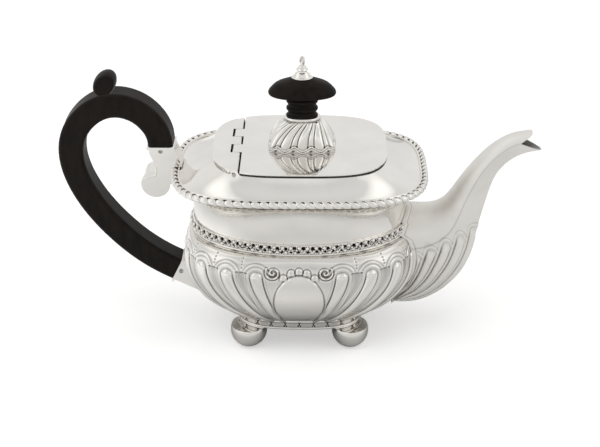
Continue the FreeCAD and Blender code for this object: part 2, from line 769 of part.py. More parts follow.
def build():
    bowl = bowl_outer()
    band = band_outer()
    flare = collar_form(0.0, 0.0)
    rim = rim_outer()
    deck = deck_outer()
    trim = hinge_trim(deck)
    body = [bowl, band, flare]
    pieces = {
        "body_shell": body_shell(bowl),
        "base_rim": base_rim(),
        "base_plate": base_plate(),
        "foliate_band": foliate_band(band),
        "collar": collar(flare),
        "gadroon_rim": gadroon_rim(rim),
        "top_deck": top_deck(deck),
        "hinge_plate": hinge_plate(),
        "hinge_knuckles_pot": knuckles(0, PIN_FIXED_CLEAR, trim),
        "hinge_knuckles_lid": knuckles(1, PIN_TURN_CLEAR, trim),
        "hinge_pin": hinge_pin(trim),
        "spout": spout(body),
        "handle": handle(),
        "upper_socket": upper_socket(rim, flare),
        "lower_socket": lower_socket(body),
        "upper_pin": peg(0),
        "lower_pin": peg(1),
        "lid_plate": lid_plate(),
        "lid_flange": lid_flange(),
        "finial_dome": finial_dome(),
        "finial_collar": finial_collar(),
        "knob": knob(),
        "finial_cap": finial_cap(),
        "finial_bolt": finial_bolt(),
        "finial_washer": finial_washer(),
        "finial_nut": finial_nut(),
    }
    for end, x in (("left", -FOOT_X), ("right", FOOT_X)):
        pieces["foot_front_" + end] = foot(x, -FOOT_Y)
        pieces["foot_back_" + end] = foot(x, FOOT_Y)
    return pieces


os.makedirs("parts", exist_ok=True)
for name, shape in build().items():
    shape.exportStep(os.path.join("parts", name + ".step"))
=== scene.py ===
import math

import bpy
import numpy as np
from bpy.props import FloatProperty, FloatVectorProperty, IntProperty, PointerProperty
from bpy.types import Operator, Panel, PropertyGroup
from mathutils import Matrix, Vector


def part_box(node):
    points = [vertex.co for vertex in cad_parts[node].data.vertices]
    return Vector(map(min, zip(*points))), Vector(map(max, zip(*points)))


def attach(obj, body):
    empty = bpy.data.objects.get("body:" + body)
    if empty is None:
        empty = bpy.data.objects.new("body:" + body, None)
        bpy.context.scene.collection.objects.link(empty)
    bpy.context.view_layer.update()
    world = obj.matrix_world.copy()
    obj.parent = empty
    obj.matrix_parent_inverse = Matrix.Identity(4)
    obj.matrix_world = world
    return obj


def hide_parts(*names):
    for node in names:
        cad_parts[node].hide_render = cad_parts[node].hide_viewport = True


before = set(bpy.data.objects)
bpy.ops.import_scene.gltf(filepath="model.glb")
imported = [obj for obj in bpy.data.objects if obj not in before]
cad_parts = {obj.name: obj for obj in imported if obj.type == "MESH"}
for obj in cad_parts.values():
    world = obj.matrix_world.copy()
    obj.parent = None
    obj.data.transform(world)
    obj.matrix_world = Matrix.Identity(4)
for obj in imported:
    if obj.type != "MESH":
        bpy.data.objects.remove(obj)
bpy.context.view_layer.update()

bl_info = {
    "name": "Oblong Silver Teapot",
    "version": (1, 0, 0),
    "blender": (4, 5, 0),
    "location": "View3D > Sidebar > Teapot",
    "description": "Chased silver, gadroons, flutes and ebony for an oblong teapot",
    "category": "Add Mesh",
}

# Properties and the stage are in metres. All other lengths are in millimetres.
MM = 0.001
TINY = 1e-9
SHARP_EDGE = math.radians(50)
OUTLINE_POINTS = 3001
PROFILE_POINTS = 6001

# How square an outline is: 2 gives an ellipse, and more is squarer
BASE_POWER = 3.1
BODY_POWER = 2.7
NECK_POWER = 2.05
RIM_POWER = 3.4
DOME_FOOT_POWER, DOME_TOP_POWER = 6.0, 2.6

PLAIN_NODES = (
    "base_plate", "collar", "top_deck", "hinge_plate", "hinge_knuckles_pot", "hinge_knuckles_lid",
    "upper_socket", "lower_socket", "lid_flange", "finial_collar", "finial_cap", "finial_washer",
    "finial_nut", "foot_front_left", "foot_back_left", "foot_front_right", "foot_back_right",
)
PIN_NODES = ("hinge_pin", "upper_pin", "lower_pin")
EBONY_NODES = ("handle", "knob")


def node_box(node):
    """Lowest and highest corner of a frame node."""
    low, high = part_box(node)
    return np.array(low) / MM, np.array(high) / MM


def node_levels(node):
    """Lowest and highest level of a frame node."""
    low, high = node_box(node)
    return low[2], high[2]


def half_plan(node):
    """Half length and half width of a frame node."""
    low, high = node_box(node)
    return (high[0] - low[0]) / 2, (high[1] - low[1]) / 2


BASE_LOW, BASE_TOP = node_levels("base_rim")
BOWL_TOP, COLLAR_TOP = node_levels("collar")
BAND_TOP = node_levels("foliate_band")[1]
RIM_LOW, RIM_TOP = node_levels("gadroon_rim")
LID_TOP = node_levels("lid_plate")[1]
BASE_HALF = half_plan("base_rim")
BAND_HALF = half_plan("foliate_band")
LIP_HALF = half_plan("collar")
RIM_HALF = half_plan("gadroon_rim")
DECK_HALF = half_plan("top_deck")

# Collar at its foot, the height over which it stays plain, and the arcs of its flare and of the bowl's foot
COLLAR_HALF = (51.6, 33.0)
COLLAR_PLAIN = 7.0
FLARE_TURN = math.radians(80)
BOWL_TURN = math.radians(60)


class BowlSizes(PropertyGroup):
    """The chased bowl."""

    half_length: FloatProperty(
        name="Half length", description="Half length of the belly", default=0.056, unit="LENGTH")
    half_width: FloatProperty(
        name="Half width", description="Half width of the belly", default=0.0385, unit="LENGTH")
    belly_rise: FloatProperty(
        name="Belly rise", description="Height of the belly above the foot", default=0.028, unit="LENGTH")
    lobe_height: FloatProperty(
        name="Lobe height", description="How far the lobes stand out", default=0.0013, unit="LENGTH")
    lobe_half_width: FloatProperty(
        name="Lobe half width", description="Half width of a lobe at the belly", default=0.0029,
        unit="LENGTH")
    first_lobe: FloatProperty(
        name="First lobe", description="From the middle of the front to the first lobe", default=0.0204,
        unit="LENGTH")
    lobes: IntProperty(
        name="Lobes", description="Lobes from the oval to the middle of an end", default=5)
    lobe_rise: FloatProperty(
        name="Lobe rise", description="Height of the lobe tops above the foot", default=0.034, unit="LENGTH")
    lobe_sweep: FloatProperty(
        name="Lobe sweep", description="How far the lobes' feet draw in to the front", default=0.012,
        unit="LENGTH")
    oval_half_width: FloatProperty(
        name="Oval half width", description="Half width of the blank oval", default=0.0119, unit="LENGTH")
    oval_low: FloatProperty(
        name="Oval foot", description="Height of the oval's lower edge above the foot", default=0.0030,
        unit="LENGTH")
    oval_high: FloatProperty(
        name="Oval top", description="Height of the oval's upper edge above the foot", default=0.0326,
        unit="LENGTH")
    grain: FloatProperty(
        name="Mesh step", description="Spacing of the mesh", default=0.00028, unit="LENGTH")


class TrimSizes(PropertyGroup):
    """Bands, rim and lid dome."""

    leaf_pitch: FloatProperty(
        name="Leaf pitch", description="From one leaf to the next", default=0.0040, unit="LENGTH")
    gadroons: IntProperty(
        name="Gadroons", description="Gadroons round the rim", default=88)
    gadroon_depth: FloatProperty(
        name="Gadroon depth", description="Depth between gadroons", default=0.0006, unit="LENGTH")
    panels: IntProperty(
        name="Base panels", description="Panels round the base ring", default=28)
    flutes: IntProperty(
        name="Dome lobes", description="Lobes round the lid dome", default=12)
    flute_depth: FloatProperty(
        name="Flute depth", description="Depth between the dome's lobes", default=0.0009, unit="LENGTH")


class SpoutSizes(PropertyGroup):
    """The spout's skin and flutes."""

    wall: FloatProperty(
        name="Wall", description="Thickness of the spout", default=0.001, unit="LENGTH")
    flute_height: FloatProperty(
        name="Flute height", description="How far the flutes stand out", default=0.0011, unit="LENGTH")
    flute_share: FloatProperty(
        name="Flute share", description="Share of the fan that one flute takes", default=0.16,
        subtype="FACTOR")
    strip_width: FloatProperty(
        name="Joint strip", description="Width of the strip where the spout meets the pot", default=0.0022,
        unit="LENGTH")


class FinishColours(PropertyGroup):
    """Metal and wood."""

    silver: FloatVectorProperty(
        name="Silver", description="Polished silver", subtype="COLOR", size=4, min=0, max=1,
        default=(0.85, 0.828, 0.79, 1.0))
    # Dark colour of tarnish; it also paints the shade in hollows and lines, the shadow in the lid's joint and
    # the dark of the pins
    tarnish: FloatVectorProperty(
        name="Tarnish", description="Silver in the hollows", subtype="COLOR", size=4, min=0, max=1,
        default=(0.05, 0.045, 0.04, 1.0))
    ebony: FloatVectorProperty(
        name="Ebony", description="Blackwood", subtype="COLOR", size=4, min=0, max=1,
        default=(0.0040, 0.0028, 0.0021, 1.0))
    ebony_grain: FloatVectorProperty(
        name="Ebony grain", description="Paler streaks in the wood", subtype="COLOR", size=4, min=0, max=1,
        default=(0.0145, 0.0098, 0.0074, 1.0))


class StageLevels(PropertyGroup):
    """Camera and light."""

    distance: FloatProperty(
        name="Distance", description="Camera to the aim point", default=0.6396, unit="LENGTH")
    aim_height: FloatProperty(
        name="Aim height", description="Height of the aim point", default=0.0565, unit="LENGTH")
    elevation: FloatProperty(
        name="Elevation", description="Camera above the table", default=math.radians(28.0), unit="ROTATION")
    turn: FloatProperty(
        name="Turn", description="Camera to the side", default=math.radians(0.7), unit="ROTATION")
    lens: FloatProperty(
        name="Lens", description="Focal length in millimetres", default=78.0)
    key_power: FloatProperty(
        name="Key power", description="Overhead lamp", default=7.0, unit="POWER")
    fill_power: FloatProperty(
        name="Fill power", description="Side lamps", default=2.0, unit="POWER")
    room_level: FloatProperty(
        name="Room level", description="Light from all round", default=0.35)


def mm(value):
    """A property's metres in millimetres."""
    return value / MM


def smooth_step(low, high, value):
    """Nought at low and one at high, with a soft start and end."""
    share = np.clip((value - low) / (high - low), 0, 1)
    return share * share * (3 - 2 * share)


def ridge(distance, width):
    """Soft line of unit height."""
    return np.exp(-(distance / width) ** 2)


def arch(place):
    """Half-round of unit height over places from -1 to 1."""
    return np.sqrt(np.clip(1 - place ** 2, 0, 1))


def outline(a, b, power, turns):
    """Points round an oblong with swelling sides."""
    c, s = np.cos(turns), np.sin(turns)
    reach = (np.abs(c) ** power + np.abs(s) ** power) ** (-1 / power)
    return a * c * reach, b * s * reach


def run_along(points):
    """Distance along lines of points from their first one."""
    steps = np.linalg.norm(np.diff(points, axis=0), axis=-1)
    return np.concatenate((np.zeros((1,) + steps.shape[1:]), np.cumsum(steps, axis=0)))


def even_quarter(a, b, power, count):
    """Turns from the end to the side at even steps along the outline, and the quarter's length."""
    fine = np.linspace(0, math.pi / 2, OUTLINE_POINTS)
    run = run_along(np.stack(outline(a, b, power, fine), axis=-1))
    return np.interp(np.linspace(0, run[-1], count + 1), run, fine), run[-1]


def all_round(quarter):
    """Turns of a whole outline from those of a quarter, and each one's place in the quarter."""
    up = np.arange(len(quarter) - 1)
    down = up[::-1] + 1
    sides = (quarter[up], math.pi - quarter[down], math.pi + quarter[up], 2 * math.pi - quarter[down])
    return np.concatenate(sides), np.concatenate((up, down, up, down))


def spline(knots, values, at):
    """Smooth curve through values at knots, with free ends."""
    count = len(knots)
    gap = np.diff(knots)
    rise = np.diff(values, axis=0) / gap[:, None]
    system = np.zeros((count, count))
    right = np.zeros(values.shape)
    system[0, 0] = system[-1, -1] = 1
    for i in range(1, count - 1):
        system[i, i - 1:i + 2] = gap[i - 1], 2 * (gap[i - 1] + gap[i]), gap[i]
        right[i] = 6 * (rise[i] - rise[i - 1])
    bend = np.linalg.solve(system, right)
    i = np.clip(np.searchsorted(knots, at) - 1, 0, count - 2)
    h = gap[i][:, None]
    left, over = (knots[i + 1] - at)[:, None], (at - knots[i])[:, None]
    bent = (bend[i] * left ** 3 + bend[i + 1] * over ** 3) / (6 * h)
    return bent + (values[i] / h - bend[i] * h / 6) * left + (values[i + 1] / h - bend[i + 1] * h / 6) * over


def unit(vectors):
    """Vectors at length one."""
    return vectors / np.maximum(np.linalg.norm(vectors, axis=-1, keepdims=True), TINY)


def skin_normals(points, rows_close=False):
    """Outward normals of a grid whose columns run round and close, and whose rows run up or close too."""
    round_way = np.roll(points, -1, axis=1) - np.roll(points, 1, axis=1)
    if rows_close:
        up_way = np.roll(points, -1, axis=0) - np.roll(points, 1, axis=0)
    else:
        up_way = np.gradient(points, axis=0)
    return unit(np.cross(round_way, up_way))


# Depth of a hollow that is fully dark with tarnish and painted shade
BLACK_HOLLOW = 0.5


def hollows(relief, reach, dark=0.0):
    """How far each place lies below its surroundings, as a share, and dark where it is named so: tarnish and
    painted shade in the hollows.
    """
    around = relief.copy()
    for axis in (0, 1):
        total = np.zeros_like(around)
        for step in range(-reach, reach + 1):
            total += np.roll(around, step, axis=axis)
        around = total / (2 * reach + 1)
    return np.clip((around - relief) / BLACK_HOLLOW + dark, 0, 1)


def ring_mesh(name, points, recess=None, caps=False):
    """Closed skin from a grid of points whose columns close, and whose rows close or end in caps."""
    rows, columns = points.shape[:2]
    r = np.arange(rows - 1 if caps else rows)[:, None]
    c = np.arange(columns)[None, :]
    r2, c2 = (r + 1) % rows, (c + 1) % columns
    quads = np.stack((r * columns + c, r * columns + c2, r2 * columns + c2, r2 * columns + c), axis=-1)
    loops, starts = quads.ravel(), np.arange(0, quads.size, 4)
    if caps:
        ends = np.arange(columns)
        loops = np.concatenate((loops, ends[::-1], (rows - 1) * columns + ends))
        starts = np.concatenate((starts, (quads.size, quads.size + columns)))
    mesh = bpy.data.meshes.new(name)
    mesh.vertices.add(rows * columns)
    mesh.vertices.foreach_set("co", (points * MM).astype(np.float32).ravel())
    mesh.loops.add(len(loops))
    mesh.loops.foreach_set("vertex_index", loops.astype(np.int32))
    mesh.polygons.add(len(starts))
    mesh.polygons.foreach_set("loop_start", starts.astype(np.int32))
    mesh.update(calc_edges=True)
    if recess is not None:
        layer = mesh.attributes.new("recess", "FLOAT", "POINT")
        layer.data.foreach_set("value", recess.astype(np.float32).ravel())
    mesh.validate()
    mesh.shade_smooth()
    mesh.set_sharp_from_angle(angle=SHARP_EDGE)
    return mesh


def add_piece(mesh, body, slot, material, *nodes):
    """Piece of the pot that rides on a body and stands for the nodes named."""
    piece = bpy.data.objects.new(mesh.name, mesh)
    bpy.context.scene.collection.objects.link(piece)
    mesh.materials.append(material)
    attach(piece, body)
    if nodes:
        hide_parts(*nodes)
    return piece


class NodeTree:
    """Nodes of a material or of the world. A value here is a number, a colour or another node's socket."""

    def __init__(self, owner):
        owner.use_nodes = True
        self.nodes = owner.node_tree.nodes
        self.links = owner.node_tree.links

    def add(self, kind, **settings):
        """New node with its settings."""
        node = self.nodes.new(kind)
        for name, value in settings.items():
            setattr(node, name, value)
        return node

    def put(self, value, socket):
        """Gives a socket its value."""
        if isinstance(value, bpy.types.NodeSocket):
            self.links.new(value, socket)
        else:
            socket.default_value = value

    def math(self, operation, *values):
        """Number worked out from others."""
        node = self.add("ShaderNodeMath", operation=operation)
        for value, socket in zip(values, node.inputs):
            self.put(value, socket)
        return node.outputs["Value"]

    def place(self, kind):
        """Place or direction of a point on the surface."""
        return self.add("ShaderNodeTexCoord").outputs[kind]

    def along(self, axis, vector):
        """One coordinate of a vector."""
        parts = self.add("ShaderNodeSeparateXYZ")
        self.put(vector, parts.inputs["Vector"])
        return parts.outputs[axis]

    def noise(self, scale, detail, stretch=(1.0, 1.0, 1.0)):
        """Noise in the pot's own space, scale in cells per metre."""
        mapping = self.add("ShaderNodeMapping")
        self.put(self.place("Object"), mapping.inputs["Vector"])
        self.put(stretch, mapping.inputs["Scale"])
        texture = self.add("ShaderNodeTexNoise")
        self.put(mapping.outputs["Vector"], texture.inputs["Vector"])
        self.put(scale, texture.inputs["Scale"])
        self.put(detail, texture.inputs["Detail"])
        return texture.outputs["Fac"]

    def spread(self, source, low, high, source_low=0.3, source_high=0.7):
        """Number between low and high that follows another, by default a noise."""
        node = self.add("ShaderNodeMapRange")
        self.put(source, node.inputs["Value"])
        self.put(source_low, node.inputs["From Min"])
        self.put(source_high, node.inputs["From Max"])
        self.put(low, node.inputs["To Min"])
        self.put(high, node.inputs["To Max"])
        return node.outputs["Result"]

    def blend(self, share, first, second):
        """Colour between two others. Sockets 6, 7 and 2 of the node are its colours."""
        node = self.add("ShaderNodeMix", data_type="RGBA")
        self.put(share, node.inputs["Factor"])
        self.put(first, node.inputs[6])
        self.put(second, node.inputs[7])
        return node.outputs[2]

    def ramp(self, source, stops):
        """Grey that follows a number through stops of (number, grey)."""
        low, high = stops[0][0], stops[-1][0]
        node = self.add("ShaderNodeValToRGB")
        elements = node.color_ramp.elements
        while len(elements) < len(stops):
            elements.new(0.5)
        for element, (at, grey) in zip(elements, stops):
            element.position = (at - low) / (high - low)
            element.color = (grey, grey, grey, 1.0)
        self.put(self.spread(source, 0.0, 1.0, low, high), node.inputs["Fac"])
        return node.outputs["Color"]

    def bump(self, shader, height, strength):
        """Fine unevenness of a surface."""
        node = self.add("ShaderNodeBump")
        self.put(strength, node.inputs["Strength"])
        self.put(0.2 * MM, node.inputs["Distance"])
        self.put(height, node.inputs["Height"])
        self.put(node.outputs["Normal"], shader.inputs["Normal"])

    def rays(self):
        """One for rays from the camera, and one for rays from mirrors or through glass."""
        path = self.add("ShaderNodeLightPath").outputs
        return path["Is Camera Ray"], self.math("MAXIMUM", path["Is Glossy Ray"], path["Is Transmission Ray"])


def new_material(name):
    """Material, its nodes and its main shader."""
    material = bpy.data.materials.new(name)
    tree = NodeTree(material)
    return material, tree, tree.nodes["Principled BSDF"]


# Roughness of three finishes, what wipe marks add to it, and the share of colour left in the clouds
MIRROR_POLISH, CHASED_POLISH, SATIN_POLISH = 0.05, 0.12, 0.46
WIPED_ROUGHER = 0.06
CLOUDED = 0.93

# Painted shadow in the lid's joint: its distance below the lid's top, and how far a shadowed face may lean
LID_SHADOW_DROP = 0.6
UPRIGHT_SLACK = 0.5


def upright_below(tree, level):
    """One on upright faces below a height in the pot's own space."""
    upright = tree.math("COMPARE", tree.along("Z", tree.place("Normal")), 0.0, UPRIGHT_SLACK)
    below = tree.math("LESS_THAN", tree.along("Z", tree.place("Object")), level * MM)
    return tree.math("MULTIPLY", upright, below)


def silver_finish(name, colours, polish, joint=None):
    """Silver with faint clouds and wipe marks; hollows keep some tarnish and get painted shade, and sides
    below a joint get painted shadow.
    """
    if name in bpy.data.materials:
        return bpy.data.materials[name]
    material, tree, shader = new_material(name)
    cloud = tree.noise(scale=60.0, detail=3.0)
    wipe = tree.noise(scale=900.0, detail=4.0, stretch=(1.0, 0.25, 0.6))
    dull = tuple(CLOUDED * value for value in colours.silver[:3]) + (1.0,)
    clean = tree.blend(tree.spread(cloud, 0.0, 1.0), colours.silver, dull)
    # The recess share blends towards the tarnish colour: tarnish and painted shade in the hollows and chased
    # lines
    hollow = tree.add("ShaderNodeAttribute", attribute_name="recess")
    worn = tree.blend(hollow.outputs["Fac"], clean, colours.tarnish)
    # Upright sides below the lid's top take the tarnish colour: painted shadow of the gap under the lid's
    # edge
    if joint is not None:
        worn = tree.blend(upright_below(tree, joint), worn, colours.tarnish)
    tree.put(worn, shader.inputs["Base Color"])
    tree.put(tree.spread(wipe, polish, polish + WIPED_ROUGHER), shader.inputs["Roughness"])
    tree.bump(shader, wipe, strength=0.03)
    shader.inputs["Metallic"].default_value = 1.0
    return material


def plain_silver(colours):
    """Mirror finish of the plain pieces."""
    return silver_finish("polished_silver", colours, MIRROR_POLISH)


def lid_silver(colours):
    """Mirror finish with painted shadow in the joint round the lid's edge."""
    return silver_finish("lid_silver", colours, MIRROR_POLISH, LID_TOP - LID_SHADOW_DROP)


def chased_silver(colours):
    """Finish of the chased pieces."""
    return silver_finish("worked_silver", colours, CHASED_POLISH)


def satin_silver(colours):
    """Soft finish of the spout."""
    return silver_finish("satin_silver", colours, SATIN_POLISH)


def dark_pin(colours):
    """Old, dull pins darkened in clouds: a painted reflection of the dark ebony round the handle's pins."""
    material, tree, shader = new_material("tarnished_pin")
    cloud = tree.noise(scale=700.0, detail=3.0)
    # Clouds of the tarnish colour, which on the handle's pins stand for a painted reflection of the ebony
    worn = tree.blend(tree.spread(cloud, 0.35, 0.85), colours.silver, colours.tarnish)
    tree.put(worn, shader.inputs["Base Color"])
    tree.put(tree.spread(cloud, 0.2, 0.35), shader.inputs["Roughness"])
    shader.inputs["Metallic"].default_value = 1.0
    return material


def ebony_finish(colours):
    """Blackwood with long fine grain, worn to a low sheen."""
    material, tree, shader = new_material("ebony_wood")
    grain = tree.noise(scale=260.0, detail=8.0, stretch=(1.0, 3.0, 0.35))
    pores = tree.noise(scale=1900.0, detail=4.0, stretch=(1.0, 2.0, 0.25))
    wood = tree.blend(tree.spread(grain, 0.0, 1.0), colours.ebony, colours.ebony_grain)
    tree.put(wood, shader.inputs["Base Color"])
    tree.put(tree.spread(grain, 0.40, 0.54), shader.inputs["Roughness"])
    tree.bump(shader, pores, strength=0.12)
    shader.inputs["Specular IOR Level"].default_value = 0.13
    return material


class BowlForm:
    """Plain outside of the bowl: an arc up to the belly, then the shoulder in to the neck."""

    def __init__(self, sizes):
        self.belly = mm(sizes.half_length), mm(sizes.half_width)
        self.belly_z = BASE_TOP + mm(sizes.belly_rise)

    def swell(self, z):
        """How far the bowl has swelled towards the belly at heights z."""
        under = np.clip((self.belly_z - z) / (self.belly_z - BASE_TOP), 0, 1) * math.sin(BOWL_TURN)
        low = (arch(under) - math.cos(BOWL_TURN)) / (1 - math.cos(BOWL_TURN))
        over = np.clip((z - self.belly_z) / (BOWL_TOP - self.belly_z), 0, 1)
        return np.where(z < self.belly_z, low, arch(over))

    def halves(self, z):
        """Half length and half width at heights z."""
        out = self.swell(z)
        result = []
        for base, belly, top in zip(BASE_HALF, self.belly, BAND_HALF):
            start = np.where(z < self.belly_z, base, top)
            result.append(start + (belly - start) * out)
        return result

    def power(self, z):
        """How square the outline is at heights z."""
        start = np.where(z < self.belly_z, BASE_POWER, NECK_POWER)
        return start + (BODY_POWER - start) * self.swell(z)

    def ring(self, z, turns, inset):
        """Grid of points at heights z and turns, drawn in by an inset at each height."""
        a, b = self.halves(z)
        x, y = outline((a - inset)[:, None], (b - inset)[:, None], self.power(z)[:, None], turns[None, :])
        return np.stack((x, y, z[:, None] + 0 * x), axis=-1)

    def heights(self, step):
        """Heights at even steps along the side's profile, their distance along it, and that of any height."""
        fine = np.linspace(BASE_TOP, BOWL_TOP, PROFILE_POINTS)
        run = run_along(np.stack((fine, self.halves(fine)[1]), axis=-1))
        along = np.linspace(0, run[-1], int(run[-1] / step) + 1)
        return np.interp(along, run, fine), along, lambda z: np.interp(z, fine, run)


def stroke_distance(x, y, points):
    """Distance from each place of a grid to a line of points."""
    best = np.full(x.shape, np.inf)
    for (x0, y0), (x1, y1) in zip(points, points[1:]):
        dx, dy = x1 - x0, y1 - y0
        share = np.clip(((x - x0) * dx + (y - y0) * dy) / (dx * dx + dy * dy), 0, 1)
        best = np.minimum(best, np.hypot(x - x0 - share * dx, y - y0 - share * dy))
    return best


def spiral(centre, start, outer, inner, turns, steps=48):
    """Points of a spiral that winds inward from start degrees."""
    share = np.arange(steps + 1) / steps
    reach = outer + (inner - outer) * share
    angle = math.radians(start) + 2 * math.pi * turns * share
    return list(zip(centre[0] + reach * np.cos(angle), centre[1] + reach * np.sin(angle)))


def rounded_bar(across, below, half):
    """Distance outside a bar with a round top; below is measured down from its top."""
    over = np.minimum(below - half, 0)
    return np.hypot(across, over) - half


# Chasing of the bowl. A line or rib is given by its distance from an edge, its strength and its half width.
CHASED_DEPTH, CHASED_DEEPEST = 0.2, 1.3
CHASED_DARK, CHASED_DARKEST = 0.17, 0.7
SWEEP_FROM, SWEEP_RUN, SWEEP_MOST, SWEEP_POWER = 2.8, 27.5, 1.2, 1.3
LOBE_FOOT_SHARE, LOBE_FOOT_RUN = 0.45, 14
LOBE_LINE = (0.25, 1.0, 0.30)
LOBE_LINE_AT_TIP = 0.2
LOBE_BORDER = (1.55, 0.5, 0.26)
SCALLOP_RIBS = ((1.6, 0.16, 0.5), (3.5, 0.36, 0.5))
SCALLOP_LINES = ((4.2, 0.75, 0.27), (2.5, 0.25, 0.3))
GROUND_SHADE = 0.11
DART_DROP, DART_LENGTH, DART_MARGIN, DART_LEAST = 0.4, 24, 1.7, 0.15
DART_DEPTH, DART_SHADE, DART_SHADE_RUN = 0.5, 0.24, 9
DART_EDGE = (0.0, 0.8, 0.27)
DART_HEAD = (0.0, 0.9, 0.3)
DOTS, DOT_FIRST, DOT_PITCH = 4, 1.6, 1.45
DOT = (0.0, 1.6, 0.36)
VOLUTE_OFF, VOLUTE_RISE, VOLUTE_REACH = 0.5, 34.0, 4.6
VOLUTE_OUTER, VOLUTE_INNER, VOLUTE_START, VOLUTE_TURNS = 3.7, 0.5, 35.0, -1.55
VOLUTE_RIB = (0.0, 0.65, 0.42)
VOLUTE_LINE = (0.72, 2.2, 0.28)
VOLUTE_TOP_SHARE = 0.45
BEADS, BEAD_PITCH, BEAD_LIFT, BEAD_TALL = 3, 3.7, 1.5, 1.4
BEAD_R, BEAD_HEIGHT, BEAD_SPLIT_R = 1.85, 0.6, 1.6
BEAD_LINE = (2.05, 1.2, 0.27)
BEAD_SPLIT = (0.0, 0.6, 0.3)
OVAL_STEP, OVAL_CROWN = 0.55, 0.45
OVAL_LINE = (0.35, 0.9, 0.32)


def stroke(edge, kind):
    """One kind of line or rib along an edge."""
    off, strength, width = kind
    return strength * ridge(edge - off, width)


class BowlChasing:
    """Chasing on a quarter of the bowl: s runs along the belly from the side's middle, t up the profile."""

    def __init__(self, sizes, form, columns, length, z, along, run_of):
        self.sizes = sizes
        self.s = np.linspace(length, 0, columns)[None, :] + 0 * along[:, None]
        self.t = along[:, None] + 0 * self.s
        a, b = form.halves(z)
        self.shrink = ((a + b) / sum(form.belly))[:, None]
        self.below = run_of(BASE_TOP + mm(sizes.lobe_rise)) - self.t
        self.pitch = (length - mm(sizes.first_lobe)) / (sizes.lobes - 1)
        foot = np.clip((self.below - SWEEP_FROM) / SWEEP_RUN, 0, SWEEP_MOST) ** SWEEP_POWER
        sweep, turn = mm(sizes.lobe_sweep), math.pi * self.s / length
        self.swept = self.s + sweep * np.sin(turn) * foot
        self.scale = self.shrink / np.minimum(1 + sweep * math.pi / length * np.cos(turn) * foot, 1)
        low, high = run_of(BASE_TOP + mm(sizes.oval_low)), run_of(BASE_TOP + mm(sizes.oval_high))
        self.oval_mid, self.oval_half = (low + high) / 2, (high - low) / 2
        self.oval_wide = mm(sizes.oval_half_width)
        self.oval = np.hypot(self.s * self.shrink / self.oval_wide, (self.t - self.oval_mid) / self.oval_half)
        self.off_oval = (self.oval - 1) * self.oval_wide
        self.eye = self.oval_wide + VOLUTE_OFF, run_of(BASE_TOP + VOLUTE_RISE)
        self.height, self.line, self.shade = (np.zeros_like(self.s) for _ in range(3))

    def across(self, k):
        """Distance across from the middle of lobe k, or of the gap after it at k and a half."""
        return (self.swept - mm(self.sizes.first_lobe) - k * self.pitch) * self.scale

    def add_lobes(self):
        """Lobes with lines beside them and a scallop over each."""
        half = mm(self.sizes.lobe_half_width) * self.shrink
        rise = mm(self.sizes.lobe_height)
        fade = LOBE_FOOT_SHARE + (1 - LOBE_FOOT_SHARE) * smooth_step(0, LOBE_FOOT_RUN, self.t)
        clear = smooth_step(0.6, 1.8, self.off_oval)
        side = LOBE_LINE_AT_TIP + (1 - LOBE_LINE_AT_TIP) * smooth_step(0.3, 1.6, self.below / half)
        under_tip = smooth_step(2, 5, self.below)
        crown = smooth_step(2.2, -0.2, self.below)
        nearest = np.full_like(self.s, np.inf)
        for k in range(self.sizes.lobes):
            edge = rounded_bar(self.across(k), self.below, half)
            nearest = np.minimum(nearest, edge)
            self.height = np.maximum(self.height, rise * fade * arch(1 + edge / half) * clear)
            self.line += side * stroke(edge, LOBE_LINE) * clear
            off, strength, width = LOBE_BORDER
            self.line += strength * ridge(edge - off * self.shrink, width) * clear * under_tip
            self.height += crown * sum(stroke(edge, kind) for kind in SCALLOP_RIBS)
            self.line += crown * sum(stroke(edge, kind) for kind in SCALLOP_LINES)
        self.shade += GROUND_SHADE * smooth_step(-0.4, 0.8, nearest)

    def add_darts(self):
        """Sunk tapering panels between the lobes, with a row of dots over each."""
        drop = self.below - DART_DROP
        widest = self.pitch / 2 - mm(self.sizes.lobe_half_width) - DART_MARGIN
        wide = widest * self.shrink * np.clip(1 - drop / DART_LENGTH, 0, 1)
        started = smooth_step(0, 0.5, drop)
        for k in range(self.sizes.lobes - 1):
            gap = np.abs(self.across(k + 0.5))
            panel = smooth_step(0.3, -0.3, gap - wide) * started * (wide > DART_LEAST)
            self.height -= DART_DEPTH * panel * np.clip(1 - (gap / np.maximum(wide, 0.2)) ** 2, 0.2, 1)
            self.shade += DART_SHADE * panel * np.exp(-np.clip(drop, 0, None) / DART_SHADE_RUN)
            self.line += stroke(gap - wide, DART_EDGE) * started * smooth_step(DART_LEAST, 0.8, wide)
            self.line += stroke(drop - 0.2 * gap, DART_HEAD) * smooth_step(wide + 0.6, wide, gap)
            for dot in range(DOTS):
                self.line += stroke(np.hypot(gap, self.below + DOT_FIRST + DOT_PITCH * dot), DOT)

    def add_volute(self):
        """Volute beside the top of the oval, with painted shade darkest under its curl."""
        x, y = self.eye
        curl = stroke_distance(
            self.s, self.t, spiral(self.eye, VOLUTE_START, VOLUTE_OUTER, VOLUTE_INNER, VOLUTE_TURNS))
        self.height += stroke(curl, VOLUTE_RIB)
        low_side = VOLUTE_TOP_SHARE + (1 - VOLUTE_TOP_SHARE) * smooth_step(1.5, -1.5, self.t - y)
        self.line += low_side * stroke(curl, VOLUTE_LINE) * (np.hypot(self.s - x, self.t - y) < VOLUTE_REACH)

    def add_beads(self):
        """Split beads along the top of the oval, the first of them at its middle."""
        for k in range(BEADS):
            x = BEAD_PITCH * k
            y = self.oval_mid + self.oval_half * math.sqrt(1 - (x / self.oval_wide) ** 2) + BEAD_LIFT
            reach = np.hypot(self.s - x, (self.t - y) / BEAD_TALL)
            upper = smooth_step(-1.2, 0.0, self.t - y)
            self.height += BEAD_HEIGHT * arch(reach / BEAD_R) * upper
            split = stroke(self.s - x, BEAD_SPLIT) * (reach < BEAD_SPLIT_R)
            self.line += (stroke(reach, BEAD_LINE) + split) * upper

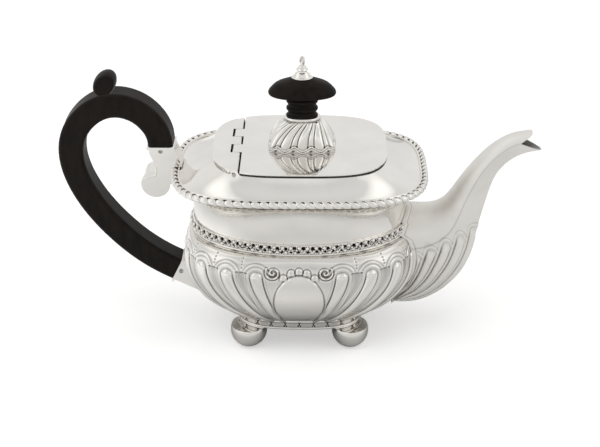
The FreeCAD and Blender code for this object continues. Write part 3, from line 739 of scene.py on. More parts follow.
    def relief(self):
        """Height and darkness of all the chasing round the raised blank oval."""
        self.add_lobes()
        self.add_darts()
        self.add_volute()
        self.add_beads()
        outside = smooth_step(-0.5, 0.3, self.off_oval)
        crown = OVAL_CROWN * np.clip(1 - self.oval ** 2, 0, 1)
        height = self.height * outside + OVAL_STEP * (1 - outside) + crown
        line = self.line * outside + stroke(self.off_oval, OVAL_LINE)
        # Painted shade with tarnish in the chased lines, and painted shade on the ground and in the darts
        dark = np.clip(CHASED_DARK * line + self.shade * outside, 0, CHASED_DARKEST)
        return height - CHASED_DEPTH * np.minimum(line, CHASED_DEEPEST), dark


# Lining of the bowl, thicker near the foot, and the strainer's holes in it
BOWL_WALL = 0.9
LINING_ROWS = 70
FOOT_THICKER, FOOT_RUN = 0.7, 6.0
HOLE_R, HOLE_PITCH, HOLE_FIELD_R, HOLE_RISE, HOLE_DEPTH = 1.5, 5.0, 10.5, 25.0, 0.4


def strainer(lining):
    """One inside the strainer's holes behind the spout, on the bowl's lining."""
    x, y, z = lining[..., 0], lining[..., 1], lining[..., 2] - BASE_TOP - HOLE_RISE
    row_pitch = HOLE_PITCH * math.sqrt(3) / 2
    row = np.round(z / row_pitch)
    shift = 0.5 * (row % 2)
    hole_y = HOLE_PITCH * (np.round(y / HOLE_PITCH - shift) + shift)
    hole_z = row_pitch * row
    inside = smooth_step(HOLE_R + 0.2, HOLE_R - 0.2, np.hypot(y - hole_y, z - hole_z))
    return inside * (np.hypot(hole_y, hole_z) <= HOLE_FIELD_R) * (x > 0)


def make_bowl(sizes, colours):
    """Bowl with its chased outside and its lining."""
    form = BowlForm(sizes)
    step = mm(sizes.grain)
    length = even_quarter(*form.belly, BODY_POWER, 1)[1]
    quarter = even_quarter(*form.belly, BODY_POWER, int(length / step))[0]
    turns, fold = all_round(quarter)
    z, along, run_of = form.heights(step)
    outer = form.ring(z, turns, 0 * z)
    relief, dark = BowlChasing(sizes, form, len(quarter), length, z, along, run_of).relief()
    rim = smooth_step(0, 0.5, along[-1] - along)[:, None]
    relief, dark = (relief * rim)[:, fold], (dark * rim)[:, fold]
    skin = outer + skin_normals(outer) * relief[:, :, None]
    skin[0, :, 2] = BASE_TOP
    skin[-1, :, 2] = BOWL_TOP
    inner_z = np.linspace(BOWL_TOP, BASE_TOP, LINING_ROWS)
    foot = FOOT_THICKER * np.clip(1 - (inner_z - BASE_TOP) / FOOT_RUN, 0, 1)
    neck = np.clip((inner_z - form.belly_z) / (BOWL_TOP - form.belly_z), 0, 1) ** 4
    lining = form.ring(inner_z, turns, BOWL_WALL + foot + (BAND_HALF[0] - COLLAR_HALF[0]) * neck)
    holes = strainer(lining)
    lining[:, :, 0] += HOLE_DEPTH * holes
    # The strainer's holes are shallow dimples painted fully dark: painted shade in the holes
    recess = np.concatenate((hollows(relief, 3, dark), holes))
    mesh = ring_mesh("bowl_chased", np.concatenate((skin, lining)), recess)
    return add_piece(mesh, "pot", "silver_chased", chased_silver(colours), "body_shell")


def ring_piece(name, node, halves, power, section, relief, columns, colours):
    """Ring of the pot swept round an oblong.

    section holds rows of (reach, height), and relief gives a height and a darkness for its first rows.
    """
    count = columns // 4
    quarter, length = even_quarter(*halves, power, count)
    ring_x, ring_y = outline(1.0, 1.0, power, all_round(quarter)[0])
    reach, level = section[:, :1], section[:, 1:]
    x, y = (halves[0] + reach) * ring_x, (halves[1] + reach) * ring_y
    points = np.stack((x, y, level + 0 * x), axis=-1)
    along = np.concatenate([np.arange(count) * length / count + side * length for side in range(4)])
    worked = relief(along, 4 * length)
    blank = np.zeros((len(section) - len(worked[0]), len(along)))
    height, dark = (np.concatenate((rows, blank)) for rows in worked)
    skin = points + skin_normals(points, rows_close=True) * height[:, :, None]
    mesh = ring_mesh(name, skin, hollows(height, 2, dark))
    return add_piece(mesh, "pot", "silver_chased", chased_silver(colours), node)


# Leaf band: each row of leaves or pits has a shift along the pitch, a level up the band and a radius
LEAF_ROWS = ((0.5, 0.80, 1.25), (0.0, 0.42, 1.15), (0.27, 0.60, 0.85), (0.74, 0.62, 0.85))
PIT_ROWS = ((0.0, 0.77, 0.70), (0.5, 0.44, 0.70))
LEAF_GROUND, LEAF_HEIGHT, LEAF_PETALS, LEAF_EDGE_SHADE = -0.35, 0.95, 5, 0.45
PIT_DEPTH, PIT_SHADE, PIT_RING = 1.1, 1.5, 0.3
HAND_SEED, HAND_ALONG, HAND_UP, HAND_TURN = 11, 0.42, 0.3, 2
BAND_ROWS, BAND_COLUMNS = 36, 1440
BAND_SINK, BAND_SWELL, BAND_BACK = -0.9, 0.7, -1.75
FILLET_TOP, FILLET_HALF, FILLET_HEIGHT, FILLET_SHADE = 1.25, 0.6, 0.28, 0.35


def make_leaf_band(sizes, colours):
    """Strip of buds and leaves with two rows of deep pits among them, over a plain fillet."""
    tall = BAND_TOP - BOWL_TOP
    share = np.linspace(0, 1, BAND_ROWS)
    swell = BAND_SINK + BAND_SWELL * np.sqrt(np.sin(math.pi * share))
    front = np.stack((swell, BOWL_TOP + tall * share), axis=-1)
    section = np.concatenate((front, [(BAND_BACK, BAND_TOP), (BAND_BACK, BOWL_TOP)]))

    def relief(along, whole):
        """Height and darkness at places along the ring."""
        count = round(whole / mm(sizes.leaf_pitch))
        pitch = whole / count
        chance = np.random.default_rng(HAND_SEED)
        y = (tall * share)[:, None]
        height = np.full((BAND_ROWS, len(along)), LEAF_GROUND)
        dark = np.zeros_like(height)

        def spots(shift, level):
            """Distance and angle from the nearest of a row of places, each a little off its mark."""
            off = chance.uniform(-1, 1, (count, 3))
            cell = along / pitch - shift
            near = np.round(cell).astype(int) % count
            x = (cell - np.round(cell)) * pitch + HAND_ALONG * off[near, 0]
            rise = y - level * tall - HAND_UP * off[near, 1]
            return np.hypot(x[None, :], rise), np.arctan2(rise, x[None, :]) + HAND_TURN * off[near, 2]

        for shift, level, size in LEAF_ROWS:
            away, angle = spots(shift, level)
            petal = size * (0.82 + 0.18 * np.cos(LEAF_PETALS * angle))
            height = np.maximum(height, LEAF_HEIGHT * arch(away / petal) + LEAF_GROUND)
            # Painted shade round the edge of each leaf
            dark += LEAF_EDGE_SHADE * ridge(away - petal, 0.16)
        for shift, level, size in PIT_ROWS:
            away = spots(shift, level)[0]
            height -= PIT_DEPTH * ridge(away, size)
            # Painted shade in each pit
            dark += PIT_SHADE * ridge(away, 0.9 * size)
            height += PIT_RING * ridge(away - 1.15 * size - 0.15, 0.22)
        fillet = smooth_step(FILLET_TOP + 0.1, FILLET_TOP - 0.15, y)
        height = height * (1 - fillet) + fillet * FILLET_HEIGHT * arch((y - FILLET_HALF) / FILLET_HALF)
        # Painted shade along the fillet's upper edge
        dark = dark * (1 - fillet) + FILLET_SHADE * ridge(y - FILLET_TOP, 0.16)
        crest = smooth_step(0, 0.35, tall - y)
        return height * crest, dark * crest

    return ring_piece(
        "leaf_band", "foliate_band", BAND_HALF, NECK_POWER, section, relief, BAND_COLUMNS, colours)


# Gadroon rim: rows of its mesh, columns for each gadroon, the lean in gadroons, and the bead inside them
GADROON_ROWS, GADROON_COLUMNS = 32, 20
GADROON_LEAN = 0.6
RIM_BEAD_WIDE, RIM_BEAD_R = 0.9, 0.42


def make_rim(sizes, colours):
    """Gadroons that lean round a half-round edge, with a fine bead inside them."""
    half = (RIM_TOP - RIM_LOW) / 2
    wide = RIM_HALF[0] - DECK_HALF[0]
    turn = np.linspace(-0.5 * math.pi, 0.82 * math.pi, GADROON_ROWS)
    lobe_half = 0.5 * (wide - RIM_BEAD_WIDE)
    edge = np.stack((-lobe_half + lobe_half * np.cos(turn), RIM_LOW + half + half * np.sin(turn)), axis=-1)
    bead_turn = np.linspace(0.05 * math.pi, 0.9 * math.pi, 8)
    bead = np.stack((RIM_BEAD_WIDE / 2 - wide + RIM_BEAD_R * np.cos(bead_turn),
                     RIM_TOP - 0.5 + RIM_BEAD_R * np.sin(bead_turn)), axis=-1)
    section = np.concatenate((edge, bead, [(-wide, RIM_TOP - 0.8), (-wide, RIM_LOW)]))

    def relief(along, whole):
        """Height and darkness at places along the ring."""
        share = np.linspace(0, 1, GADROON_ROWS)[:, None]
        place = 2 * ((along[None, :] * sizes.gadroons / whole + GADROON_LEAN * share) % 1.0) - 1
        # Each gadroon narrows to both its ends, and most to the inner one
        width = 1 - 0.34 * smooth_step(0.62, 1.0, share) - 0.15 * smooth_step(0.3, 0.05, share)
        fit = np.abs(place) / width
        height = mm(sizes.gadroon_depth) * (arch(fit) - 1) * smooth_step(0, 0.16, share)
        # Painted shade in the grooves, faint outside and dark on the inner side of the rim
        inner = 0.06 + 0.9 * smooth_step(0.6, 0.8, share)
        return height, smooth_step(0.8, 1.0, fit) * inner * smooth_step(0, 0.1, share)

    columns = sizes.gadroons * GADROON_COLUMNS
    return ring_piece("rim_gadroons", "gadroon_rim", RIM_HALF, RIM_POWER, section, relief, columns, colours)


# Base ring: its mesh, its front and back from the outline, and its relief
BASE_ROWS, BASE_COLUMNS = 30, 1280
BASE_SINK, BASE_BACK = -0.4, -1.6
BASE_FILLET, BASE_PANEL, BASE_CUT = 0.36, 0.2, 0.4
CROSS_SLOPE, CROSS_LINE = 0.5, 0.26


def make_base_ring(sizes, colours):
    """Upright ring of plain panels parted by small crosses, between two fillets."""
    share = np.linspace(0, 1, BASE_ROWS)
    tall = BASE_TOP - BASE_LOW
    front = np.stack((0 * share + BASE_SINK, BASE_LOW + tall * share), axis=-1)
    section = np.concatenate((front, [(BASE_BACK, BASE_TOP), (BASE_BACK, BASE_LOW)]))

    def relief(along, whole):
        """Height and darkness at places along the ring."""
        pitch = whole / sizes.panels
        x = ((along + pitch / 2) % pitch - pitch / 2)[None, :]
        y = (tall * (share - 0.5))[:, None]
        from_edge = tall / 2 - np.abs(y)
        fillet = smooth_step(1.0, 0.7, from_edge)
        cross = np.minimum(np.abs(x - CROSS_SLOPE * y), np.abs(x + CROSS_SLOPE * y))
        mark = ridge(cross, CROSS_LINE) * smooth_step(1.2, 0.9, np.abs(x)) * (1 - fillet)
        panel = smooth_step(0.8, 1.3, np.abs(x)) * (1 - fillet)
        height = BASE_FILLET * fillet + BASE_PANEL * panel - BASE_CUT * mark
        # Painted shade in the crosses, at the fillets' inner edges, and over the whole band between the
        # fillets
        return height, 0.85 * mark + 0.5 * ridge(from_edge - 1.05, 0.18) + 0.38 * (1 - fillet)

    return ring_piece("base_ring", "base_rim", BASE_HALF, BASE_POWER, section, relief, BASE_COLUMNS, colours)


# Lid dome: its mesh with columns for each lobe, its profile, the lean of its lobes, and its hem
DOME_ROWS, DOME_COLUMNS = 90, 40
DOME_SWELL = 1.4
DOME_LEAN, DOME_CURL = 0.12, 0.8
DOME_LOBE_HALF, DOME_RIB_HALF, DOME_RIB_SHARE = 0.30, 0.16, 0.75
HEM_LEVEL, HEM_WAVE, HEM_SHIFT = 0.17, 0.07, 0.05
HEM_BEADS, HEM_BEAD_HALF = (0.35, 1.35), 0.34
DOME_WALL, DOME_HEAD, DOME_LINING_STEP = 2.2, 0.92, 6


def make_dome(sizes, colours):
    """Dome of leaning lobes with a narrow rib between each two, over a waved double hem."""
    low, high = node_box("finial_dome")
    middle = (low[0] + high[0]) / 2
    foot = half_plan("finial_dome")
    top = np.array(half_plan("finial_collar")) - 0.5
    tall = high[2] - low[2]
    columns = sizes.flutes * DOME_COLUMNS
    turns = all_round(even_quarter(*foot, DOME_FOOT_POWER, columns // 4)[0])[0]
    step = np.arange(columns)[None, :] * sizes.flutes / columns
    lift = np.sin(np.linspace(0, math.pi / 2, DOME_ROWS))[:, None]
    swell = (1 - lift ** DOME_SWELL) ** (1 / DOME_SWELL)
    a, b = (inner + (outer - inner) * swell for inner, outer in zip(top, foot))
    power = DOME_FOOT_POWER + (DOME_TOP_POWER - DOME_FOOT_POWER) * lift
    x, y = outline(a, b, power, turns[None, :])
    plain = np.stack((middle + x, y, low[2] + tall * lift + 0 * x), axis=-1)

    # Lobes and ribs lean evenly, and curl round towards the top
    phase = step - DOME_LEAN * lift - DOME_CURL * lift ** 4
    place = np.abs((phase + 0.5) % 1.0 - 0.5)
    lobe = arch(place / DOME_LOBE_HALF)
    profile = np.maximum(lobe, DOME_RIB_SHARE * arch((0.5 - place) / DOME_RIB_HALF))
    # The hem's upper edge waves once for each lobe, and two beads follow it
    wave = HEM_LEVEL - HEM_WAVE * np.cos(2 * math.pi * (step - HEM_SHIFT))
    over = (lift - wave) * tall
    hem = smooth_step(0.15, -0.15, over)
    beads = sum(ridge(over + drop, HEM_BEAD_HALF) for drop in HEM_BEADS)
    height = mm(sizes.flute_depth) * (profile - 1) * (1 - hem) * smooth_step(1.04, 0.85, lift)
    height += hem * (0.45 * beads - 0.5) - 0.25 * ridge(over - 0.3, 0.3)
    # Painted shade between the lobes, along the hem's edge, between its beads and at the top under the
    # collar; dark at a dot under each rib
    dark = (0.1 + 0.8 * smooth_step(0.78, 0.97, lift)) * (1 - hem) * smooth_step(0.45, 0.0, profile)
    dark += 0.6 * ridge(over - 0.3, 0.25) * (1 - 0.6 * lobe)
    dark += 0.4 * ridge(over + 0.85, 0.22) + 0.5 * smooth_step(0.95, 1.0, lift)
    dark += hem * ridge(np.hypot((place - 0.5) * 6, over + 2.3), 0.5)

    skin = plain + skin_normals(plain) * height[:, :, None]
    skin[0, :, 2] = low[2]
    skin[-1, :, 2] = high[2]
    lining = plain[::-DOME_LINING_STEP].copy()
    shrink = 1 - DOME_WALL / foot[1]
    lining[:, :, 0] = middle + (lining[:, :, 0] - middle) * shrink
    lining[:, :, 1] *= shrink
    lining[:, :, 2] = low[2] + (lining[:, :, 2] - low[2]) * DOME_HEAD
    lining[0, :, 2] = high[2]
    recess = np.concatenate((hollows(height, 3, dark), np.zeros(lining.shape[:2])))
    mesh = ring_mesh("dome_fluted", np.concatenate((skin, lining)), recess)
    return add_piece(mesh, "lid", "silver_chased", plain_silver(colours), "finial_dome")


# Bud on the bolt: radii as shares of the bolt's own, at shares of its height above the cap
BUD_HEIGHTS = (0.0, 0.14, 0.3, 0.5, 0.68, 0.85, 0.95, 1.0)
BUD_RADII = (1.80, 1.28, 0.92, 0.80, 0.88, 0.84, 0.60, 0.10)
BUD_STEPS = 60
BUD_FOLDS, BUD_FOLD_DEPTH, BUD_TWIST = 3, 0.34, 0.9 * math.pi
BOLT_R, BUD_SEAT_R = 1.4, 1.6


def make_flame(colours):
    """Twisted bud on the through bolt of the knob."""
    low, high = node_box("finial_bolt")
    cap = node_levels("finial_cap")[1]
    bud = high[2] - cap
    share = np.linspace(0, 1, BUD_STEPS)
    curve = spline(np.array(BUD_HEIGHTS), np.array(BUD_RADII)[:, None], share)[:, 0]
    heights = np.concatenate(((low[2], cap - 0.05, cap - 0.04), cap + bud * share))
    radii = np.concatenate(((BOLT_R, BOLT_R, BUD_SEAT_R), (high[0] - low[0]) / 2 * curve))
    turns = np.linspace(0, 2 * math.pi, BUD_STEPS, endpoint=False)[None, :]
    lift = ((heights - cap) / bud)[:, None]
    fold = np.abs(np.cos(BUD_FOLDS / 2 * (turns - BUD_TWIST * lift))) * smooth_step(0.1, 0.35, lift)
    reach = radii[:, None] * (1 - BUD_FOLD_DEPTH * fold ** 3)
    middle = (low[0] + high[0]) / 2
    points = (middle + reach * np.cos(turns), reach * np.sin(turns), heights[:, None] + 0 * reach)
    # Painted shade in the folds of the bud
    mesh = ring_mesh("finial_flame", np.stack(points, axis=-1), 0.5 * smooth_step(0.8, 1.0, fold), caps=True)
    return add_piece(mesh, "lid", "silver_plain", plain_silver(colours), "finial_bolt")


# Line on the bracket: points from the volute's eye, along the pot and up
SCROLL_EYE = (-69.2, 80.5)
SCROLL_LINE = ((0.6, 9.2), (0.5, 6.6), (0.1, 4.9), (-1.6, 3.9), (-4.4, 3.3), (-6.2, 1.8))
SCROLL_SIDE, SCROLL_HALF = 5.6, 0.5
SCROLL_STEPS, SCROLL_TURNS = 60, 16


def make_scrolls(colours):
    """Raised line along each side of the bracket, where its arm rolls over the volute."""
    path = np.array(SCROLL_LINE) + SCROLL_EYE
    knots = run_along(path)
    at = np.linspace(0, knots[-1], SCROLL_STEPS)
    line = spline(knots, path, at)
    ahead = unit(np.gradient(line, axis=0))
    thick = SCROLL_HALF * np.sqrt(np.clip(1 - (2 * at / knots[-1] - 1) ** 6, 0.01, 1))[:, None]
    turns = np.linspace(0, 2 * math.pi, SCROLL_TURNS, endpoint=False)[None, :]
    out = thick * np.cos(turns)
    for name, side in (("bracket_scroll_front", -1.0), ("bracket_scroll_back", 1.0)):
        across = side * thick * np.sin(turns)
        points = (line[:, :1] - ahead[:, 1:] * across, side * (SCROLL_SIDE + out),
                  line[:, 1:] + ahead[:, :1] * across)
        # Painted shade on the side of the line that faces the bracket
        mesh = ring_mesh(name, np.stack(points, axis=-1), np.clip(0.4 - out / thick, 0, 0.6), caps=True)
        add_piece(mesh, "pot", "silver_plain", plain_silver(colours))


# Spout: top and keel as (along, up) from the belly's end and the foot, and the half width, from root to mouth
SPOUT_STATIONS = (
    (-14.0, 50.6, -22.0, 1.5, 15.0),
    (-1.0, 51.2, 1.5, -0.8, 15.5),
    (7.0, 51.4, 18.5, 9.3, 14.3),
    (12.6, 53.6, 27.3, 22.6, 12.4),
    (17.0, 58.9, 31.0, 39.0, 10.2),
    (22.4, 67.7, 34.3, 55.0, 8.3),
    (33.2, 81.4, 39.5, 70.5, 6.5),
    (45.0, 89.3, 49.5, 79.0, 5.6),
    (55.0, 91.2, 58.995, 81.3, 4.8),
)
ARRIS_SHARE = 0.31
MOUTH_CORNER = (47.9, 86.4)
MOUTH_HOOD = ((50.2, 87.9), (52.4, 89.2), (53.7, 90.3), (53.8, 91.6))
MOUTH_LIP = (59.2, 81.4)
SPOUT_UPPER, SPOUT_LOWER = 49, 201
SPOUT_STEPS, SPOUT_ROWS, SPOUT_LINING_ROWS = 1500, 380, 60
SPOUT_LINING_SHADE = 0.75
BAND_OVERLAP = 1.0


def spout_skin(belly, wall):
    """Untrimmed spout: rows from root to mouth, columns round from one arris over the top and back below."""
    stations = np.array(SPOUT_STATIONS)
    stations[:, (0, 2)] += belly
    stations[:, (1, 3)] += BASE_TOP
    knots = run_along((stations[:, :2] + stations[:, 2:4]) / 2)
    rows = spline(knots, stations, np.linspace(0, knots[-1], SPOUT_STEPS))
    top, low, half = rows[:, :2], rows[:, 2:4], rows[:, 4] - wall
    depth = np.linalg.norm(low - top, axis=1, keepdims=True)
    down = (low - top) / depth
    top, depth = top + wall * down, depth[:, 0] - 2 * wall
    shoulder = ARRIS_SHARE * depth
    radius = (half ** 2 + shoulder ** 2) / (2 * shoulder)
    sweep = np.arctan2(half, radius - shoulder)[:, None] * np.linspace(-1, 1, SPOUT_UPPER)
    arch_w, arch_y = radius[:, None] * (1 - np.cos(sweep)), radius[:, None] * np.sin(sweep)
    turn = np.linspace(math.pi / 2, -math.pi / 2, SPOUT_LOWER + 2)[1:-1]
    keel_w = shoulder[:, None] + (depth - shoulder)[:, None] * np.cos(turn)
    keel_y = half[:, None] * np.sin(turn)
    w, y = np.concatenate((arch_w, keel_w), axis=1), np.concatenate((arch_y, keel_y), axis=1)
    return np.stack((top[:, :1] + w * down[:, :1], y, top[:, 1:] + w * down[:, 1:]), axis=-1)


def in_mouth(points, belly):
    """Places cut away between the hood and the lip of the mouth."""
    x, z = points[..., 0] - belly, points[..., 2] - BASE_TOP
    slope = (MOUTH_LIP[1] - MOUTH_CORNER[1]) / (MOUTH_LIP[0] - MOUTH_CORNER[0])
    chain = np.array((MOUTH_CORNER,) + MOUTH_HOOD)
    hood = np.interp(z, chain[:, 1], chain[:, 0])
    return (x > hood) & (z > MOUTH_CORNER[1] + slope * (x - MOUTH_CORNER[0]))


def flare_share(z):
    """How far the collar has flared out at heights z."""
    rise = np.clip((z - BOWL_TOP - COLLAR_PLAIN) / (COLLAR_TOP - BOWL_TOP - COLLAR_PLAIN), 0, 1)
    return (1 - arch(rise * math.sin(FLARE_TURN))) / (1 - math.cos(FLARE_TURN))


def in_pot(points, form):
    """Places inside the bowl, well inside the leaf band, or inside the flaring collar."""
    z = points[..., 2]
    bowl_z = np.clip(z, BASE_TOP, BOWL_TOP)
    behind = BAND_OVERLAP * (z > BOWL_TOP)
    out = flare_share(z)
    above = z > BAND_TOP
    halves = []
    for bowl, collar, lip in zip(form.halves(bowl_z), COLLAR_HALF, LIP_HALF):
        halves.append(np.where(above, collar + (lip - collar) * out, bowl - behind))
    power = np.where(above, NECK_POWER + (RIM_POWER - NECK_POWER) * out, form.power(bowl_z))
    return np.abs(points[..., 0] / halves[0]) ** power + np.abs(points[..., 1] / halves[1]) ** power < 1


def trimmed(skin, form, rows):
    """Skin of the spout between the pot and the mouth, at even steps along each column."""
    steps = np.arange(len(skin))
    pot, mouth = in_pot(skin, form), in_mouth(skin, form.belly[0])
    result = np.empty((rows,) + skin.shape[1:])
    for column in range(skin.shape[1]):
        start = steps[pot[:, column]].max()
        cut = steps[mouth[:, column] & (steps > start)]
        end = cut.min() if len(cut) else steps[-1]
        places = np.linspace(start, end, rows)
        for axis in range(3):
            result[:, column, axis] = np.interp(places, steps, skin[:, column, axis])
    return result


# Fan of flutes: its centre from the belly's end and the foot, and the keel's bearing in degrees by reach.
# The flutes end at a line given by a start, a level there and a slope.
FAN_CENTRE = (-10.0, 1.0)
FAN_KEEL = ((11.6, 99.0), (29.7, 73.8), (43.0, 60.0), (56.0, 47.2))
FAN_REACHES = (8, 60, 521)
FLUTE_LINE = (-1.2, 30.3, 0.395)
FLUTES, FLUTE_FULLNESS = 6, 0.62
FLUTE_EDGE = (0.25, 1.0, 0.34)
FLUTE_RIB = (0.0, 0.4, 0.5)
FLUTE_CROWN_RIB = (1.6, 0.3, 0.42)
FLUTE_CROWN_LINE = (2.3, 0.5, 0.28)
STRIP_HEIGHT = 0.35
STRIP_LINE = (0.3, 0.7, 0.25)
ARRIS_SHADE = (0.0, 0.32, 0.35)
FLUTE_CUT, FLUTE_DEEPEST, FLUTE_DARK, FLUTE_DARKEST = 0.15, 1.2, 0.14, 0.7


def flute_relief(sizes, skin, belly):
    """Height and darkness of the flutes that fan out under the spout, their scallops and the joint strip."""
    x, z = skin[..., 0] - belly - FAN_CENTRE[0], skin[..., 2] - BASE_TOP - FAN_CENTRE[1]
    reach = np.hypot(x, z)
    angle = np.degrees(np.arctan2(x, z))
    fan_reach, fan_bearing = np.array(FAN_KEEL).T
    keel = np.interp(reach, fan_reach, fan_bearing)
    per_share = np.radians(keel) * reach
    share = sizes.flute_share
    half = share / 2 * per_share * FLUTE_FULLNESS
    start, level, slope = FLUTE_LINE
    radii = np.linspace(*FAN_REACHES)
    height, line = np.zeros_like(x), np.zeros_like(x)
    for k in range(FLUTES):
        middle = 1 - share / 2 - k * share
        bearing = np.radians(middle * np.interp(radii, fan_reach, fan_bearing))
        ahead, up = FAN_CENTRE[0] + radii * np.sin(bearing), FAN_CENTRE[1] + radii * np.cos(bearing)
        below = radii[level + slope * (ahead - start) > up].max() - reach
        across = (angle / keel - middle) * per_share
        edge = rounded_bar(across, below, half)
        rise = smooth_step(-0.5, 4.5, below)
        height = np.maximum(height, mm(sizes.flute_height) * rise * arch(1 + edge / half))
        line += (0.15 + 0.55 * rise) * stroke(edge, FLUTE_EDGE)
        height += stroke(across + share / 2 * per_share, FLUTE_RIB) * smooth_step(0.5, 3, below)
        crown = smooth_step(2.0, -0.2, below)
        height += crown * stroke(edge, FLUTE_CROWN_RIB)
        line += crown * stroke(edge, FLUTE_CROWN_LINE)
    height[:, :SPOUT_UPPER] = 0
    line[:, :SPOUT_UPPER] = 0
    along = run_along(skin)
    strip = mm(sizes.strip_width)
    clear = smooth_step(strip, strip + 1.5, along)
    height = height * clear + STRIP_HEIGHT * smooth_step(strip + 0.2, strip - 0.2, along)
    line = line * clear + stroke(along - strip, STRIP_LINE)
    sides = (skin[:, :1], skin[:, SPOUT_UPPER - 1:SPOUT_UPPER])
    arris = np.minimum(*(np.linalg.norm(skin - side, axis=2) for side in sides))
    mouth = smooth_step(0, 1.0, along[-1][None, :] - along)
    height = (height - FLUTE_CUT * np.minimum(line, FLUTE_DEEPEST)) * mouth * smooth_step(0, 0.5, along)
    # Painted shade in the lines of the flutes and the strip, and a painted dark line along each arris
    return height, np.clip(FLUTE_DARK * line + stroke(arris, ARRIS_SHADE), 0, FLUTE_DARKEST) * mouth


def make_spout(sizes, form, colours):
    """Spout with its fluted outside and its lining."""
    belly = form.belly[0]
    outer = trimmed(spout_skin(belly, 0.0), form, SPOUT_ROWS)
    relief, dark = flute_relief(sizes, outer, belly)
    skin = outer - skin_normals(outer) * relief[:, :, None]
    lining = trimmed(spout_skin(belly, mm(sizes.wall)), form, SPOUT_LINING_ROWS)[::-1]
    # Painted shade over the lining inside the spout, besides the shade in the flutes' hollows
    recess = np.concatenate((hollows(relief, 3, dark), np.full(lining.shape[:2], SPOUT_LINING_SHADE)))
    mesh = ring_mesh("spout_fluted", np.concatenate((skin, lining))[:, ::-1], recess[:, ::-1])
    return add_piece(mesh, "pot", "silver_plain", satin_silver(colours), "spout")


class TEAPOT_OT_plain(Operator):
    """Polishes the plain silver and finishes the pins and the ebony"""

    bl_idname = "teapot.plain"
    bl_label = "Plain silver and ebony"

    def execute(self, context):
        colours = context.scene.teapot_finish
        groups = ((PLAIN_NODES, plain_silver(colours)), (("lid_plate",), lid_silver(colours)),
                  (PIN_NODES, dark_pin(colours)), (EBONY_NODES, ebony_finish(colours)))
        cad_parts["handle"].visible_glossy = False
        for names, material in groups:
            for name in names:
                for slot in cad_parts[name].material_slots:
                    slot.material = material
        return {"FINISHED"}


class TEAPOT_OT_bowl(Operator):
    """Makes the chased bowl"""

    bl_idname = "teapot.bowl"
    bl_label = "Bowl"

    def execute(self, context):
        make_bowl(context.scene.teapot_bowl, context.scene.teapot_finish)
        return {"FINISHED"}


class TEAPOT_OT_bands(Operator):
    """Makes the leaf band, the gadroon rim and the base ring"""

    bl_idname = "teapot.bands"
    bl_label = "Bands"

    def execute(self, context):
        for make in (make_leaf_band, make_rim, make_base_ring):
            make(context.scene.teapot_trim, context.scene.teapot_finish)
        return {"FINISHED"}


class TEAPOT_OT_spout(Operator):
    """Makes the fluted spout"""

    bl_idname = "teapot.spout"
    bl_label = "Spout"

    def execute(self, context):
        form = BowlForm(context.scene.teapot_bowl)
        make_spout(context.scene.teapot_spout, form, context.scene.teapot_finish)
        return {"FINISHED"}


class TEAPOT_OT_dome(Operator):
    """Makes the fluted dome under the knob and the flame on it"""

    bl_idname = "teapot.dome"
    bl_label = "Lid dome and flame"

    def execute(self, context):
        make_dome(context.scene.teapot_trim, context.scene.teapot_finish)
        make_flame(context.scene.teapot_finish)
        return {"FINISHED"}


class TEAPOT_OT_scrolls(Operator):
    """Makes the raised lines on the handle's upper bracket"""

    bl_idname = "teapot.scrolls"
    bl_label = "Bracket scrolls"

    def execute(self, context):
        make_scrolls(context.scene.teapot_finish)
        return {"FINISHED"}


# Grey of the room that mirrors find, by height before and behind the pot, and where the back begins
FRONT_WALL = ((0.0, 0.74), (0.22, 0.80), (0.38, 0.98), (0.54, 0.75), (0.8, 0.80), (1.0, 0.74))
BACK_WALL = ((0.0, 0.80), (0.3, 0.90), (0.6, 0.89), (1.0, 0.74))
BACK_SHARE = ((-1.0, 0.0), (-0.25, 0.0), (0.3, 1.0), (1.0, 1.0))

# Windows: their directions, their share by nearness to one, and their light
WINDOWS = ((-0.5, 0.0, 0.86), (0.5, 0.0, 0.86), (-0.8, -0.44, 0.4), (0.8, -0.44, 0.4))
WINDOW_SHARE = ((0.8, 0.0), (0.91, 0.0), (0.99, 1.0), (1.0, 1.0))
WINDOW_LIGHT = (1.3, 1.3, 1.28, 1.0)

WHITE, BLACK = (1.0, 1.0, 1.0, 1.0), (0.0, 0.0, 0.0, 1.0)


def make_room(levels):
    """White to the eye; mirrors find grey walls with a bright band in front, and four soft windows."""
    world = bpy.data.worlds.new("studio")
    bpy.context.scene.world = world
    tree = NodeTree(world)
    tree.nodes.clear()
    camera, mirror = tree.rays()
    place = tree.place("Generated")
    height = tree.along("Z", place)
    back = tree.ramp(tree.along("Y", place), BACK_SHARE)
    walls = tree.blend(back, tree.ramp(height, FRONT_WALL), tree.ramp(height, BACK_WALL))
    for direction in WINDOWS:
        nearness = tree.add("ShaderNodeVectorMath", operation="DOT_PRODUCT")
        tree.put(place, nearness.inputs[0])
        tree.put(direction, nearness.inputs[1])
        walls = tree.blend(tree.ramp(nearness.outputs["Value"], WINDOW_SHARE), walls, WINDOW_LIGHT)
    level = levels.room_level
    room = tree.blend(mirror, (level, level, 0.985 * level, 1.0), walls)
    background = tree.add("ShaderNodeBackground")
    tree.put(tree.blend(camera, room, WHITE), background.inputs["Color"])
    output = tree.add("ShaderNodeOutputWorld")
    tree.put(background.outputs["Background"], output.inputs["Surface"])


# Grey of the floor in mirrors from before the pot to behind it, painted light and shade; its painted glow in
# mirrors from left to right, and its glow to the eye by distance from the pot
FLOOR_REACH = 6.0
FLOOR_GREY = ((-1.0, 0.90), (-0.45, 0.92), (-0.25, 0.90), (-0.12, 0.70), (-0.06, 0.84), (0.2, 0.88))
FLOOR_GLOW = ((-0.4, 0.44), (-0.15, 0.44), (-0.08, 0.16), (0.08, 0.16), (0.14, 0.18), (0.4, 0.18))
FLOOR_WHITE = ((0.0, 0.42), (0.5, 0.46), (1.0, 0.60), (1.6, 0.70), (2.0, 0.72))
PAPER, PAPER_PAINTED_SHADOW = (0.90, 0.90, 0.895, 1.0), (0.3, 0.3, 0.29, 1.0)
SHELTER_REACH = 0.04


